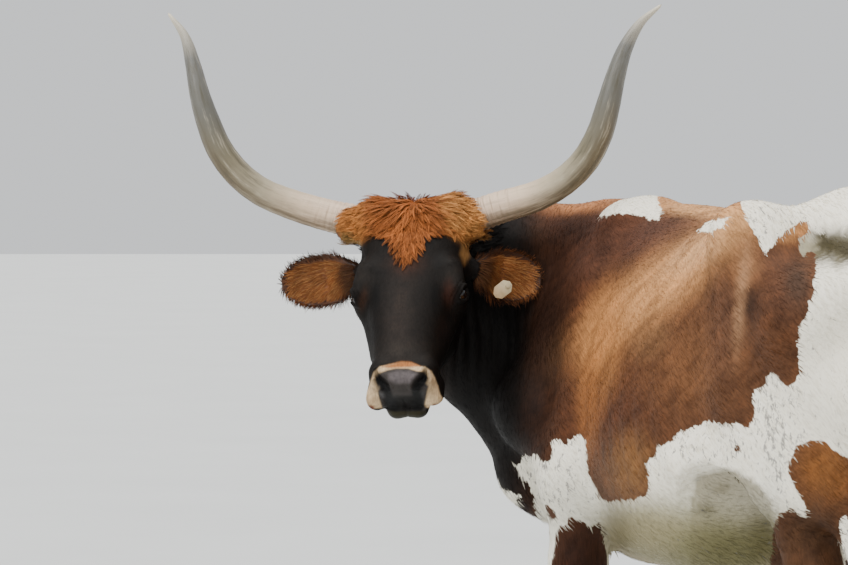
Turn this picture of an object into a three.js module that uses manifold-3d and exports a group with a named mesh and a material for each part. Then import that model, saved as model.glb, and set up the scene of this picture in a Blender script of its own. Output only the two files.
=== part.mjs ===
// A life-size Texas longhorn cow that stands with its neck bent round and its head turned back
// past its left shoulder. Millimetres: +X runs towards the tail, +Y to the cow's own right and
// +Z up. The finished group is set down with its origin on the ground, below the middle of the
// model. The flesh is one smooth field of named forms, which is meshed part by part and parted
// with thin cuts. Horns, ears, eyes, hooves, tail and hair locks are shaped on their own.

import * as THREE from "three";
import { mergeVertices } from "three/addons/utils/BufferGeometryUtils.js";
import Module from "manifold-3d";

const wasm = await Module();
wasm.setup();

// Driving sizes
const withersHeight = 1322;
const hipHeight = 1356;
const chestFloor = 600;
const bellyFloor = 588;
const barrelHalfWidth = 305;
const hookHalfWidth = 222;
const pinHalfWidth = 124;
const headLength = 440;
const eyeRadius = 20;
const eyeSpread = 97;
const hornBaseRadius = 32.5;
const earLength = 172;
const earHalfWidth = 50;
const gap = 0.3;
const farAway = 1e6;

const vec = (x, y, z) => new THREE.Vector3(x, y, z);
const mix = (a, b, t) => a + (b - a) * t;
const clamp = (value, low, high) => Math.min(Math.max(value, low), high);
const sides = { left: -1, right: 1 };

// Landmarks of the right side; the left side has y turned round
const mark = {
  hook: [345, hookHalfWidth, hipHeight - 96],
  pin: [752, pinHalfWidth, hipHeight - 146],
  sacrum: [400, 50, hipHeight - 46],
  stifle: [446, 190, 826],
  hock: [645, 160, 505],
  hockPoint: [706, 158, 545],
  bladeTop: [-425, 52, 1232],
  shoulderPoint: [-598, 158, 902],
  elbow: [-392, 178, 762],
};
// How far each foot stands ahead of (-) or behind (+) its place, as the cow takes its weight
const footShift = { frontLeft: 0, frontRight: -120, hindLeft: 0, hindRight: -85 };

// The head's own frame: x out of the forehead, y to the cow's left, z up the face to the poll
const viewAzimuth = THREE.MathUtils.degToRad(63);
const headYaw = THREE.MathUtils.degToRad(10);
const headRoll = THREE.MathUtils.degToRad(2.8);
const headPitch = THREE.MathUtils.degToRad(35);
const pollPlace = vec(-665, -415, 1325);
const headFrame = makeHeadFrame();
const headInverse = headFrame.clone().invert();

function makeHeadFrame() {
  const ahead = vec(Math.sin(viewAzimuth), -Math.cos(viewAzimuth), 0);
  const across = vec(Math.cos(viewAzimuth), Math.sin(viewAzimuth), 0);
  const up = vec(0, 0, 1);
  across.applyAxisAngle(ahead, headRoll);
  up.applyAxisAngle(ahead, headRoll);
  ahead.applyAxisAngle(up, -headYaw);
  across.applyAxisAngle(up, -headYaw);
  const level = new THREE.Matrix4().makeBasis(ahead, across, up);
  return level
    .multiply(new THREE.Matrix4().makeRotationY(-headPitch))
    .premultiply(new THREE.Matrix4().makeTranslation(pollPlace));
}

// The level frame keeps the head's yaw and roll without its pitch; the horns and ears use it
const levelFrame = headFrame.clone().multiply(new THREE.Matrix4().makeRotationY(headPitch));

// A point of the head: down the face from the poll, out of the face (-) into it, and across
const facePoint = (down, out, across) => vec(out, across, -down).applyMatrix4(headFrame);
const levelPoint = (ahead, across, up) => vec(ahead, across, up).applyMatrix4(levelFrame);
const faceWay = (down, out, across) => vec(out, across, -down).transformDirection(headFrame);

// Fields: the distance from a point to a form, below zero inside it
function blend(a, b, softness) {
  const near = Math.max(softness - Math.abs(a - b), 0) / softness;
  return Math.min(a, b) - (near * near * softness) / 4;
}

// A limb from one point to another, with a radius at each end
function limb(from, to, fromRadius, toRadius, softness) {
  const axis = to.clone().sub(from);
  const lengthSquared = Math.max(axis.lengthSq(), 1e-6);
  const centre = from.clone().lerp(to, 0.5);
  return {
    softness,
    centre,
    reach: axis.length() / 2 + Math.max(fromRadius, toRadius),
    at(x, y, z) {
      const dx = x - from.x;
      const dy = y - from.y;
      const dz = z - from.z;
      const t = clamp((dx * axis.x + dy * axis.y + dz * axis.z) / lengthSquared, 0, 1);
      const away = Math.hypot(dx - t * axis.x, dy - t * axis.y, dz - t * axis.z);
      return away - mix(fromRadius, toRadius, t);
    },
  };
}

// A ball squeezed along the axes of a frame
function lump(centre, radii, softness, frame = new THREE.Matrix4()) {
  const inverse = frame.clone().setPosition(centre).invert();
  const e = inverse.elements;
  return {
    softness,
    centre,
    reach: Math.max(...radii),
    at(x, y, z) {
      const a = (e[0] * x + e[4] * y + e[8] * z + e[12]) / radii[0];
      const b = (e[1] * x + e[5] * y + e[9] * z + e[13]) / radii[1];
      const c = (e[2] * x + e[6] * y + e[10] * z + e[14]) / radii[2];
      const k0 = Math.hypot(a, b, c);
      const k1 = Math.hypot(a / radii[0], b / radii[1], c / radii[2]);
      return k0 < 1e-9 ? -Math.min(...radii) : (k0 * (k0 - 1)) / k1;
    },
  };
}

// Smooth values between stations, each [place, ...values]
function between(stations, place) {
  const last = stations.length - 1;
  const p = clamp(place, stations[0][0], stations[last][0]);
  let i = 0;
  while (i < last - 1 && p > stations[i + 1][0]) i++;
  const [a, b] = [stations[i], stations[i + 1]];
  const span = b[0] - a[0];
  const t = (p - a[0]) / span;
  const before = stations[Math.max(i - 1, 0)];
  const after = stations[Math.min(i + 2, last)];
  const [t2, t3] = [t * t, t * t * t];
  return a.slice(1).map((value, k) => {
    const j = k + 1;
    const slopeA = ((b[j] - before[j]) / (b[0] - before[0])) * span;
    const slopeB = ((after[j] - a[j]) / (after[0] - a[0])) * span;
    return (
      (2 * t3 - 3 * t2 + 1) * value +
      (t3 - 2 * t2 + t) * slopeA +
      (3 * t2 - 2 * t3) * b[j] +
      (t3 - t2) * slopeB
    );
  });
}

// A body with an egg-shaped section that changes along it: top, bottom, half width and the
// height of the widest line at each station, and rounded ends
function lofted(stations, roof, keel, endRound) {
  const first = stations[0][0];
  const last = stations[stations.length - 1][0];
  return (along, across, height) => {
    const [top, bottom, half, wide] = between(stations, along);
    const above = height > wide;
    const tall = above ? top - wide : wide - bottom;
    const power = above ? roof : keel;
    const rise = Math.abs(height - wide) / tall;
    const spread = Math.abs(across) / half;
    const radial = Math.pow(Math.pow(spread, power) + Math.pow(rise, power), 1 / power);
    const size = radial < 1e-6 ? half : radial / Math.hypot(spread / half, rise / tall);
    const wall = (radial - 1) * clamp(size, Math.min(half, tall) * 0.5, Math.max(half, tall));
    const end = Math.max(first - along, along - last);
    return -blend(-wall, -end, endRound);
  };
}

const trunkStations = [
  [-660, 1160, 735, 96, 900],
  [-560, 1276, 650, 140, 880],
  [-420, withersHeight - 2, chestFloor, 178, 875],
  [-250, withersHeight + 3, chestFloor - 4, 232, 880],
  [-40, withersHeight - 7, bellyFloor, 290, 862],
  [110, withersHeight - 5, bellyFloor + 6, barrelHalfWidth, 858],
  [210, withersHeight + 4, bellyFloor + 50, 288, 875],
  [310, hipHeight - 19, bellyFloor + 130, 258, 905],
  [400, hipHeight - 8, 770, 220, 950],
  [560, hipHeight - 13, 830, 182, 1030],
  [700, hipHeight - 52, 920, 128, 1085],
];
const headStations = [
  [-10, -44, -104, 66, -72],
  [18, -12, -138, 103, -70],
  [70, 2, -164, 111, -74],
  [135, 5, -188, 102, -64],
  [188, 5, -206, 98, -62],
  [238, 2, -198, 86, -66],
  [290, -3, -164, 75, -68],
  [340, -8, -138, 69, -66],
  [380, -14, -124, 67, -68],
  [408, -28, -120, 62, -76],
  [headLength - 12, -62, -116, 50, -88],
];
const trunkField = lofted(trunkStations, 1.9, 2.15, 70);
const skullField = lofted(headStations, 2.3, 2.0, 36);

const trunkForm = {
  softness: 50,
  centre: vec(20, 0, 950),
  reach: 900,
  at: (x, y, z) => trunkField(x, y, z),
};
const skullForm = {
  softness: 46,
  centre: facePoint(220, -90, 0),
  reach: 330,
  at(x, y, z) {
    const e = headInverse.elements;
    const out = e[0] * x + e[4] * y + e[8] * z + e[12];
    const across = e[1] * x + e[5] * y + e[9] * z + e[13];
    const up = e[2] * x + e[6] * y + e[10] * z + e[14];
    return skullField(-up, across, out);
  },
};

// A chain of limbs through points [x, y, z, radius]
function chain(points, softness) {
  return points.slice(1).map((p, i) => {
    const q = points[i];
    return limb(vec(q[0], q[1], q[2]), vec(p[0], p[1], p[2]), q[3], p[3], softness);
  });
}

// The same chain on one side of the body
const mirrored = (points, side) => points.map(([x, y, z, r]) => [x, y * side, z, r]);
const placed = ([x, y, z], radius) => [x, y, z, radius];

function bonesAndMuscles(side) {
  const shoulder = [
    ...chain(mirrored([placed(mark.bladeTop, 50), placed(mark.shoulderPoint, 84)], side), 75),
    ...chain(mirrored([placed(mark.shoulderPoint, 78), placed(mark.elbow, 62)], side), 60),
    ...chain(mirrored([[-400, 110, 1150, 55], placed(mark.elbow, 64)], side), 70),
    ...chain(mirrored([[-350, 184, 772, 36], [-366, 186, 742, 34]], side), 30),
  ];
  const hip = [
    ...chain(mirrored([placed(mark.sacrum, 34), placed(mark.hook, 36)], side), 90),
    ...chain(mirrored([placed(mark.hook, 36), [515, 200, 1118, 74], placed(mark.pin, 42)], side), 80),
    ...chain(mirrored([[60, 124, 1240, 34], placed(mark.hook, 30)], side), 90),
    ...chain(mirrored([placed(mark.hook, 32), [368, 206, 1115, 44]], side), 110),
    ...chain(mirrored([[368, 206, 1115, 44], [360, 214, 985, 46], [384, 212, 880, 50]], side), 110),
    lump(vec(235, 185 * side, 1110), [110, 60, 130], 90),
    ...chain(mirrored([[510, 138, 1076, 118], placed(mark.stifle, 80)], side), 70),
    ...chain(mirrored([placed(mark.pin, 50), [706, 150, 965, 82], [610, 168, 790, 58]], side), 60),
    ...chain(mirrored([[570, 150, 975, 104], [520, 176, 810, 76]], side), 60),
  ];
  // The loose fold of skin from the stifle forward to the belly
  const flankFold = chain(
    mirrored([[446, 212, 806, 40], [362, 234, 866, 32], [280, 256, 876, 30], [190, 268, 840, 34]], side),
    30,
  );
  return [...shoulder, ...hip, ...flankFold];
}

const udderCentre = vec(480, 0, 755);
function underside() {
  return [
    lump(udderCentre, [120, 86, 92], 40),
    ...chain([[350, 0, 776, 60], [480, 0, 810, 84]], 60),
    ...chain([[-630, -35, 775, 92], [-690, -98, 760, 72]], 70),
  ];
}

const tailPlane = { x: 788, z: hipHeight - 66 };
const tailWay = vec(0.6, 0, -0.8);
function tailHead() {
  return chain(
    [
      [600, 0, hipHeight - 52, 46],
      [712, 0, hipHeight - 48, 40],
      [tailPlane.x + 14, 0, tailPlane.z - 18, 33],
    ],
    36,
  );
}

// The neck bends round to the left; its crest, middle and throat are three chains side by side
const neckWay = {
  crest: [
    [-430, 0, 1228, 84],
    [-590, -8, 1226, 80],
    [-728, -68, 1222, 76],
    [-812, -188, 1216, 72],
    [-800, -318, 1216, 68],
  ],
  middle: [
    [-480, 0, 1040, 150],
    [-640, -22, 1050, 120],
    [-752, -96, 1080, 98],
    [-818, -206, 1100, 84],
    [-790, -318, 1116, 78],
  ],
  throat: [
    [-570, -8, 862, 130],
    [-688, -62, 884, 98],
    [-772, -142, 944, 76],
    [-808, -228, 1002, 64],
    [-782, -316, 1036, 56],
  ],
  dewlap: [
    [-668, -72, 712, 58],
    [-703, -113, 772, 62],
    [-758, -150, 868, 42],
    [-796, -208, 938, 34],
  ],
};
const neckForms = [
  ...chain(neckWay.crest, 90),
  ...chain(neckWay.middle, 90),
  ...chain(neckWay.throat, 80),
  ...chain(neckWay.dewlap, 50),
];

// Forms of the head, each given down the face, into it (-) and across
const onFace = (p, side) => facePoint(p[0], p[1], p[2] * side);
function faceLimb(from, to, fromRadius, toRadius, softness, side) {
  return limb(onFace(from, side), onFace(to, side), fromRadius, toRadius, softness);
}
const eyePlace = [198, -56, eyeSpread];
const earRoot = [102, -98, 98];
const hornRoot = [4, -60, 80];

function faceForms(side) {
  return [
    faceLimb([150, -30, 84], [192, -34, 100], 26, 20, 24, side),
    faceLimb(eyePlace, [204, -62, eyeSpread - 6], 25, 26, 18, side),
    faceLimb([212, -84, 84], [318, -76, 56], 22, 18, 26, side),
    faceLimb([168, -150, 52], [250, -140, 54], 44, 34, 34, side),
    faceLimb([196, -186, 46], [330, -142, 26], 24, 20, 34, side),
    faceLimb([398, -44, 42], [382, -42, 44], 24, 24, 20, side),
    faceLimb([410, -86, 55], [388, -86, 55], 22, 23, 16, side),
    faceLimb([425, -114, 24], [388, -118, 26], 17, 19, 14, side),
    faceLimb(hornRoot, [12, -60, 132], 40, 38, 26, side),
    faceLimb(earRoot, [earRoot[0] + 2, earRoot[1] - 8, 124], 26, 21, 22, side),
  ];
}
const noseForms = [
  faceLimb([414, -112, -22], [414, -112, 22], 17, 17, 14, 1),
  lump(facePoint(404, -58, 0), [40, 50, 26], 18, headFrame),
  faceLimb([20, -46, -60], [20, -46, 60], 44, 44, 30, 1),
];

const legLines = {
  front: {
    upper: [placed(mark.elbow, 66), [-412, 166, 600, 57], [-430, 160, 440, 41]],
    knee: [[-434, 160, 415, 43], [-434, 160, 375, 40]],
    cannon: [[-432, 160, 350, 30], [-430, 160, 205, 29]],
    fetlock: [[-428, 160, 168, 37], [-430, 160, 158, 36]],
    pastern: [[-434, 160, 150, 34], [-458, 160, 84, 33], [-468, 160, 46, 36]],
    dewClaw: [[-398, 142, 138, 13], [-392, 140, 118, 9]],
    foot: -472,
    softness: 26,
  },
  hind: {
    upper: [placed(mark.stifle, 72), [486, 183, 735, 56], [504, 177, 668, 52], [632, 161, 522, 39]],
    knee: [[650, 160, 510, 42], [660, 159, 462, 37]],
    cannon: [[658, 157, 440, 32], [650, 156, 210, 30]],
    fetlock: [[650, 156, 170, 38], [648, 156, 160, 37]],
    pastern: [[642, 156, 150, 35], [616, 156, 84, 34], [604, 156, 46, 36]],
    dewClaw: [[682, 138, 140, 13], [690, 136, 120, 9]],
    foot: 600,
    softness: 26,
  },
};

// The leg below the body leans to where its foot stands
function leaned(points, top, shift, side) {
  return points.map(([x, y, z, r]) => {
    const share = clamp((top - z) / (top - 160), 0, 1);
    return [x + shift * share, y * side, z, r];
  });
}

function legForms(end, side, shift) {
  const lines = legLines[end];
  const top = end === "front" ? 760 : 740;
  const forms = ["upper", "knee", "cannon", "fetlock", "pastern"].flatMap((part) =>
    chain(leaned(lines[part], top, shift, side), lines.softness),
  );
  const claw = leaned(lines.dewClaw, top, shift, side);
  const otherClaw = claw.map(([x, y, z, r]) => [x, side * 320 - y, z, r]);
  forms.push(...chain(claw, 10), ...chain(otherClaw, 10));
  if (end === "hind") {
    const cord = [[618, 174, 782, 42], [692, 160, 612, 20], placed(mark.hockPoint, 20)];
    const heel = [placed(mark.hockPoint, 22), [672, 158, 500, 32]];
    forms.push(...chain(leaned(cord, top, shift, side), 26), ...chain(leaned(heel, top, shift, side), 20));
  }
  return forms;
}

const shiftOf = (end, sideName) => footShift[end + (sideName === "left" ? "Left" : "Right")];
const fleshForms = [
  trunkForm,
  ...Object.values(sides).flatMap(bonesAndMuscles),
  ...underside(),
  ...tailHead(),
  ...neckForms,
  skullForm,
  ...Object.values(sides).flatMap(faceForms),
  ...noseForms,
  ...Object.keys(sides).flatMap((name) => legForms("front", sides[name], shiftOf("front", name))),
  ...Object.keys(sides).flatMap((name) => legForms("hind", sides[name], shiftOf("hind", name))),
];

function flesh(x, y, z) {
  let d = farAway;
  for (const form of fleshForms) {
    const c = form.centre;
    const least = Math.hypot(x - c.x, y - c.y, z - c.z) - form.reach - form.softness;
    if (least > d) continue;
    d = blend(d, form.at(x, y, z), form.softness);
  }
  return d;
}

function slopeOf(field, x, y, z) {
  const e = 1.5;
  return vec(
    field(x + e, y, z) - field(x - e, y, z),
    field(x, y + e, z) - field(x, y - e, z),
    field(x, y, z + e) - field(x, y, z - e),
  ).divideScalar(2 * e);
}

// Grid lines from low to high, closer together inside the fine stretches [from, to, step]
function gridLines(low, high, step, fine = []) {
  const lines = [low];
  while (lines[lines.length - 1] < high) {
    const here = lines[lines.length - 1];
    const zone = fine.find(([from, to]) => here >= from - 1e-6 && here < to - 1e-6);
    lines.push(here + (zone ? zone[2] : step));
  }
  return lines;
}

// Meshes the skin of a field with one vertex for each grid cell that it passes through, moves the
// vertices onto the skin, and gives a closed solid
function meshField(field, gridX, gridY, gridZ, frame = new THREE.Matrix4()) {
  const [nx, ny, nz] = [gridX.length, gridY.length, gridZ.length];
  const values = new Float32Array(nx * ny * nz);
  const place = (i, j, k) => (k * ny + j) * nx + i;
  const at = (p) => {
    const q = p.clone().applyMatrix4(frame);
    return field(q.x, q.y, q.z);
  };
  for (let k = 0; k < nz; k++)
    for (let j = 0; j < ny; j++)
      for (let i = 0; i < nx; i++) {
        const rim = !i || !j || !k || i === nx - 1 || j === ny - 1 || k === nz - 1;
        const value = at(vec(gridX[i], gridY[j], gridZ[k]));
        values[place(i, j, k)] = rim ? Math.max(value, 1) : value;
      }
  const points = [];
  const cells = new Map();
  const corners = [0, 1, 2, 3, 4, 5, 6, 7].map((n) => [n & 1, (n >> 1) & 1, n >> 2]);
  const place3 = (i, j, k) => corners.map(([a, b, c]) => place(i + a, j + b, k + c));
  const onRim = (n) => {
    const [i, j, k] = [n % nx, Math.floor(n / nx) % ny, Math.floor(n / (nx * ny))];
    return !i || !j || !k || i === nx - 1 || j === ny - 1 || k === nz - 1;
  };
  for (let changed = true; changed; ) {
    changed = false;
    for (let k = 0; k < nz - 1; k++)
      for (let j = 0; j < ny - 1; j++)
        for (let i = 0; i < nx - 1; i++) {
          const spots = place3(i, j, k);
          if (isOneSheet(spots.map((n) => values[n] < 0))) continue;
          const free = spots.filter((n) => values[n] >= 0 && !onRim(n));
          if (!free.length) continue;
          values[free.reduce((best, n) => (values[n] < values[best] ? n : best))] = -0.01;
          changed = true;
        }
  }
  for (let k = 0; k < nz - 1; k++)
    for (let j = 0; j < ny - 1; j++)
      for (let i = 0; i < nx - 1; i++) {
        const v = corners.map(([a, b, c]) => values[place(i + a, j + b, k + c)]);
        const inside = v.filter((n) => n < 0).length;
        if (inside === 0 || inside === 8) continue;
        const sum = vec(0, 0, 0);
        let count = 0;
        for (let a = 0; a < 8; a++)
          for (const bit of [1, 2, 4]) {
            const b = a | bit;
            if (b === a || v[a] < 0 === v[b] < 0) continue;
            const t = v[a] / (v[a] - v[b]);
            const [ca, cb] = [corners[a], corners[b]];
            sum.x += mix(gridX[i + ca[0]], gridX[i + cb[0]], t);
            sum.y += mix(gridY[j + ca[1]], gridY[j + cb[1]], t);
            sum.z += mix(gridZ[k + ca[2]], gridZ[k + cb[2]], t);
            count++;
          }
        cells.set(place(i, j, k), points.length);
        const start = sum.divideScalar(count).applyMatrix4(frame);
        points.push(settle(field, start, 0.35 * (gridX[i + 1] - gridX[i])));
      }
  const triangles = [];
  const quad = (a, b, c, d, flip) => {
    const q = [a, b, c, d].map((n) => cells.get(n));
    if (flip) q.reverse();
    const short = points[q[0]].distanceTo(points[q[2]]) < points[q[1]].distanceTo(points[q[3]]);
    const split = short ? [0, 1, 2, 0, 2, 3] : [1, 2, 3, 1, 3, 0];
    triangles.push(...split.map((n) => q[n]));
  };
  for (let k = 0; k < nz - 1; k++)
    for (let j = 0; j < ny - 1; j++)
      for (let i = 0; i < nx - 1; i++) {
        const here = values[place(i, j, k)] < 0;
        if (here !== values[place(i + 1, j, k)] < 0)
          quad(place(i, j, k), place(i, j, k - 1), place(i, j - 1, k - 1), place(i, j - 1, k), here);
        if (here !== values[place(i, j + 1, k)] < 0)
          quad(place(i, j, k), place(i - 1, j, k), place(i - 1, j, k - 1), place(i, j, k - 1), here);
        if (here !== values[place(i, j, k + 1)] < 0)
          quad(place(i, j, k), place(i, j - 1, k), place(i - 1, j - 1, k), place(i - 1, j, k), here);
      }
  relax(field, points, triangles);
  const positions = new Float32Array(points.flatMap((p) => p.toArray()));
  return new wasm.Manifold(
    new wasm.Mesh({ numProp: 3, vertProperties: positions, triVerts: new Uint32Array(triangles) }),
  );
}

// True where the corners inside the skin hang together along the cell's edges, and those outside too
function isOneSheet(inside) {
  return [true, false].every((kind) => {
    const group = [0, 1, 2, 3, 4, 5, 6, 7].filter((n) => inside[n] === kind);
    if (group.length < 2) return true;
    const found = new Set([group[0]]);
    for (const n of found)
      for (const bit of [1, 2, 4]) if (inside[n ^ bit] === kind) found.add(n ^ bit);
    return found.size === group.length;
  });
}

// Evens out the triangles: each vertex moves towards the middle of its neighbours, then back onto the skin
function relax(field, points, triangles) {
  for (let round = 0; round < 2; round++) {
    const sums = points.map(() => vec(0, 0, 0));
    const counts = points.map(() => 0);
    for (let i = 0; i < triangles.length; i++) {
      const next = i % 3 === 2 ? i - 2 : i + 1;
      sums[triangles[i]].add(points[triangles[next]]);
      counts[triangles[i]]++;
    }
    points.forEach((p, i) => {
      if (Math.abs(field(p.x, p.y, p.z)) < 4) p.lerp(sums[i].divideScalar(counts[i]), 0.5);
    });
    points.forEach((p) => {
      if (Math.abs(field(p.x, p.y, p.z)) < 8) settle(field, p, 6);
    });
  }
}

function settle(field, point, reach) {
  for (let round = 0; round < 3; round++) {
    const value = field(point.x, point.y, point.z);
    const slope = slopeOf(field, point.x, point.y, point.z);
    const steep = Math.max(slope.length(), 0.2);
    const move = clamp(value / steep, -reach, reach);
    point.addScaledVector(slope, -move / steep);
  }
  return point;
}

// Solids from three.js geometry, and back again
function solidOf(geometry) {
  const bare = geometry.clone();
  for (const name of Object.keys(bare.attributes)) if (name !== "position") bare.deleteAttribute(name);
  const merged = mergeVertices(bare, 1e-3);
  const solid = new wasm.Manifold(
    new wasm.Mesh({
      numProp: 3,
      vertProperties: merged.attributes.position.array,
      triVerts: new Uint32Array(merged.index.array),
    }),
  );
  return solid;
}

function geometryOf(solid) {
  const mesh = solid.getMesh();
  const count = mesh.numProp;
  const positions = new Float32Array(mesh.numVert * 3);
  for (let i = 0; i < mesh.numVert; i++)
    positions.set(mesh.vertProperties.subarray(i * count, i * count + 3), i * 3);
  const geometry = new THREE.BufferGeometry();
  geometry.setAttribute("position", new THREE.BufferAttribute(positions, 3));
  geometry.setIndex(new THREE.BufferAttribute(new Uint32Array(mesh.triVerts), 1));
  geometry.computeVertexNormals();
  return geometry;
}

const largest = (solid) =>
  solid.decompose().reduce((best, one) => (one.volume() > best.volume() ? one : best));

// A block with its inner face on a plane through a point, reaching out along the plane's normal
function blockBeyond(point, normal, width = 3000, depth = 3000, rise = 3000) {
  const block = new THREE.BoxGeometry(width, rise, depth);
  block.translate(0, 0, depth / 2);
  const turn = new THREE.Quaternion().setFromUnitVectors(vec(0, 0, 1), normal.clone().normalize());
  block.applyQuaternion(turn).translate(point.x, point.y, point.z);
  return solidOf(block);
}

// The two sides of a thin cut across the body
function beyond(point, normal, ...sizes) {
  const far = point.clone().addScaledVector(normal.clone().normalize(), gap / 2);
  return blockBeyond(far, normal, ...sizes);
}

// A tube of rings, each with a centre, two half axes and its half sizes, closed at both ends
function tube(rings, around) {
  const positions = [];
  const index = [];
  rings.forEach(({ centre, wide, tall, halfWide, halfTall, outline }) => {
    for (let n = 0; n < around; n++) {
      const angle = (n / around) * 2 * Math.PI;
      const [a, b] = outline ? outline(angle) : [Math.cos(angle), Math.sin(angle)];
      const p = centre.clone().addScaledVector(wide, a * halfWide).addScaledVector(tall, b * halfTall);
      positions.push(p.x, p.y, p.z);
    }
  });
  const ends = [rings[0].centre, rings[rings.length - 1].tip ?? rings[rings.length - 1].centre];
  ends.forEach((p) => positions.push(p.x, p.y, p.z));
  const [first, last] = [rings.length * around, rings.length * around + 1];
  for (let r = 0; r < rings.length - 1; r++)
    for (let n = 0; n < around; n++) {
      const m = (n + 1) % around;
      const [a, b, c, d] = [r * around + n, r * around + m, (r + 1) * around + m, (r + 1) * around + n];
      index.push(a, b, c, a, c, d);
    }
  for (let n = 0; n < around; n++) {
    const m = (n + 1) % around;
    index.push(first, m, n);
    index.push(last, (rings.length - 1) * around + n, (rings.length - 1) * around + m);
  }
  const geometry = new THREE.BufferGeometry();
  geometry.setAttribute("position", new THREE.BufferAttribute(new Float32Array(positions), 3));
  geometry.setIndex(index);
  const solid = solidOf(geometry);
  if (solid.volume() >= 0) return solid;
  for (let i = 0; i < index.length; i += 3) [index[i + 1], index[i + 2]] = [index[i + 2], index[i + 1]];
  geometry.setIndex(index);
  return solidOf(geometry);
}

// Rings across a curve, kept level with a fixed side direction
function ringsAlong(curve, steps, radiusAt, sideways) {
  const rings = [];
  for (let i = 0; i <= steps; i++) {
    const t = i / steps;
    const ahead = curve.getTangentAt(t);
    const wide = sideways.clone().cross(ahead).normalize();
    const tall = ahead.clone().cross(wide).normalize();
    const [halfWide, halfTall] = radiusAt(t);
    rings.push({ centre: curve.getPointAt(t), wide, tall, halfWide, halfTall });
  }
  return rings;
}

// Horns: out of the poll, round and up, with the tip turned out. Each row is one place on the
// way: ahead, then out and up for each horn, in the level frame
const hornWay = [
  { ahead: -50, left: [96, -44], right: [96, -42] },
  { ahead: -49, left: [168, -22], right: [184, -20] },
  { ahead: -38, left: [254, 0], right: [264, 9] },
  { ahead: -23, left: [311, 27], right: [316, 36] },
  { ahead: -6, left: [359, 67], right: [358, 75] },
  { ahead: 11, left: [393, 118], right: [389, 125] },
  { ahead: 21, left: [415, 175], right: [408, 182] },
  { ahead: 22, left: [433, 232], right: [423, 240] },
  { ahead: 15, left: [454, 287], right: [435, 300] },
  { ahead: 4, left: [486, 337], right: [452, 359] },
  { ahead: -12, left: [524, 369], right: [485, 405] },
];
const hornGirth = [
  [0, 1.06],
  [0.16, 1],
  [0.36, 0.9],
  [0.5, 0.86],
  [0.62, 0.78],
  [0.73, 0.63],
  [0.84, 0.45],
  [0.93, 0.26],
  [1, 0.1],
];
// The hair's edge round the horn's base, as far out as it lies at the middle of the horn
const hornCollar = { left: 118, right: 138 };
const collarTilt = 0.36;

function hornEdge(name) {
  const side = sides[name] === sides.left ? 1 : -1;
  const outward = levelPoint(0, side, collarTilt).sub(pollPlace).normalize();
  return { start: levelPoint(-50, side * hornCollar[name], -33), outward };
}

function makeHorn(name, grow = 0) {
  const side = sides[name] === sides.left ? 1 : -1;
  const points = hornWay.map((row) => levelPoint(row.ahead, side * row[name][0], row[name][1]));
  const curve = new THREE.CatmullRomCurve3(points);
  const girth = (t) => hornBaseRadius * between(hornGirth, t)[0] + grow;
  const sideways = levelPoint(1, 0, 0).sub(pollPlace);
  const rings = ringsAlong(curve, 22, (t) => [girth(t), girth(t) * 0.96], sideways);
  rings[rings.length - 1].tip = curve.getPointAt(1).addScaledVector(curve.getTangentAt(1), 7);
  const { start, outward } = hornEdge(name);
  return tube(rings, 11).intersect(beyond(start.addScaledVector(outward, -grow), outward));
}

// Ears: a stalk that opens into a cupped leaf
const earPose = {
  left: { ahead: -0.95, up: -0.26, faceAhead: 0.86, faceUp: 0.06, faceOut: 0.5 },
  right: { ahead: -0.12, up: -0.07, faceAhead: 0.97, faceUp: 0.06, faceOut: 0.02 },
};
const earOutline = [
  [0, 0.5],
  [0.12, 0.66],
  [0.3, 0.92],
  [0.5, 1],
  [0.7, 0.93],
  [0.86, 0.7],
  [0.96, 0.38],
  [1, 0.16],
];
const earAcross = 6;

function earBasis(name) {
  const side = name === "left" ? 1 : -1;
  const pose = earPose[name];
  const origin = levelPoint(0, 0, 0);
  const out = levelPoint(pose.ahead, side, pose.up).sub(origin).normalize();
  const face = levelPoint(pose.faceAhead, side * pose.faceOut, pose.faceUp).sub(origin);
  face.addScaledVector(out, -face.dot(out)).normalize();
  const edge = out.clone().cross(face).normalize();
  const root = onFace([earRoot[0] + 2, earRoot[1] - 8, 118], sides[name] === sides.left ? 1 : -1);
  return { out, face, edge, root };
}

function makeEar(name, grow = 0) {
  const { out, face, edge, root } = earBasis(name);
  const stations = 11;
  const rings = [];
  for (let i = 0; i <= stations; i++) {
    const t = i / stations;
    const open = Math.pow(clamp((t - 0.1) / 0.35, 0, 1), 0.8);
    const half = earHalfWidth * between(earOutline, t)[0] + grow;
    const deep = mix(22, 30, open) * Math.min(1, (half / earHalfWidth) * 1.3) * (1 - 0.6 * t * t) + grow;
    const wall = Math.min(mix(7, 3.2, t), deep);
    const hollow = grow ? -deep : mix(-deep * 0.7, deep - wall, open);
    const rise = -10 * Math.sin(t * Math.PI) - 8 * t * t;
    const centre = root.clone().addScaledVector(out, t * earLength).addScaledVector(face, rise);
    rings.push({ centre, half, deep, hollow });
  }
  const around = earAcross * 2;
  const shaped = rings.map(({ centre, half, deep, hollow }) => {
    const outline = (angle) => {
      const n = Math.round((angle / (2 * Math.PI)) * around);
      const back = n <= earAcross;
      const a = back ? -1 + (2 * n) / earAcross : 1 - (2 * (n - earAcross)) / earAcross;
      const round = Math.sqrt(Math.max(1 - a * a, 0));
      const depth = back ? -deep * round - 1.2 : -hollow * round + 1.2;
      const along = a * half;
      return [along, depth];
    };
    return { centre, wide: edge, tall: face, halfWide: 1, halfTall: 1, outline };
  });
  return tube(shaped, around);
}

// Eyes, lids, nostrils and mouth are cut and added on the head
function ball(centre, radius, across = 18, up = 12) {
  return solidOf(new THREE.SphereGeometry(radius, across, up).translate(centre.x, centre.y, centre.z));
}

const eyeAt = (side) => onFace(eyePlace, side);
const eyeWay = (side) => faceWay(0.05, 0.42, 0.9 * side);

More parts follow.
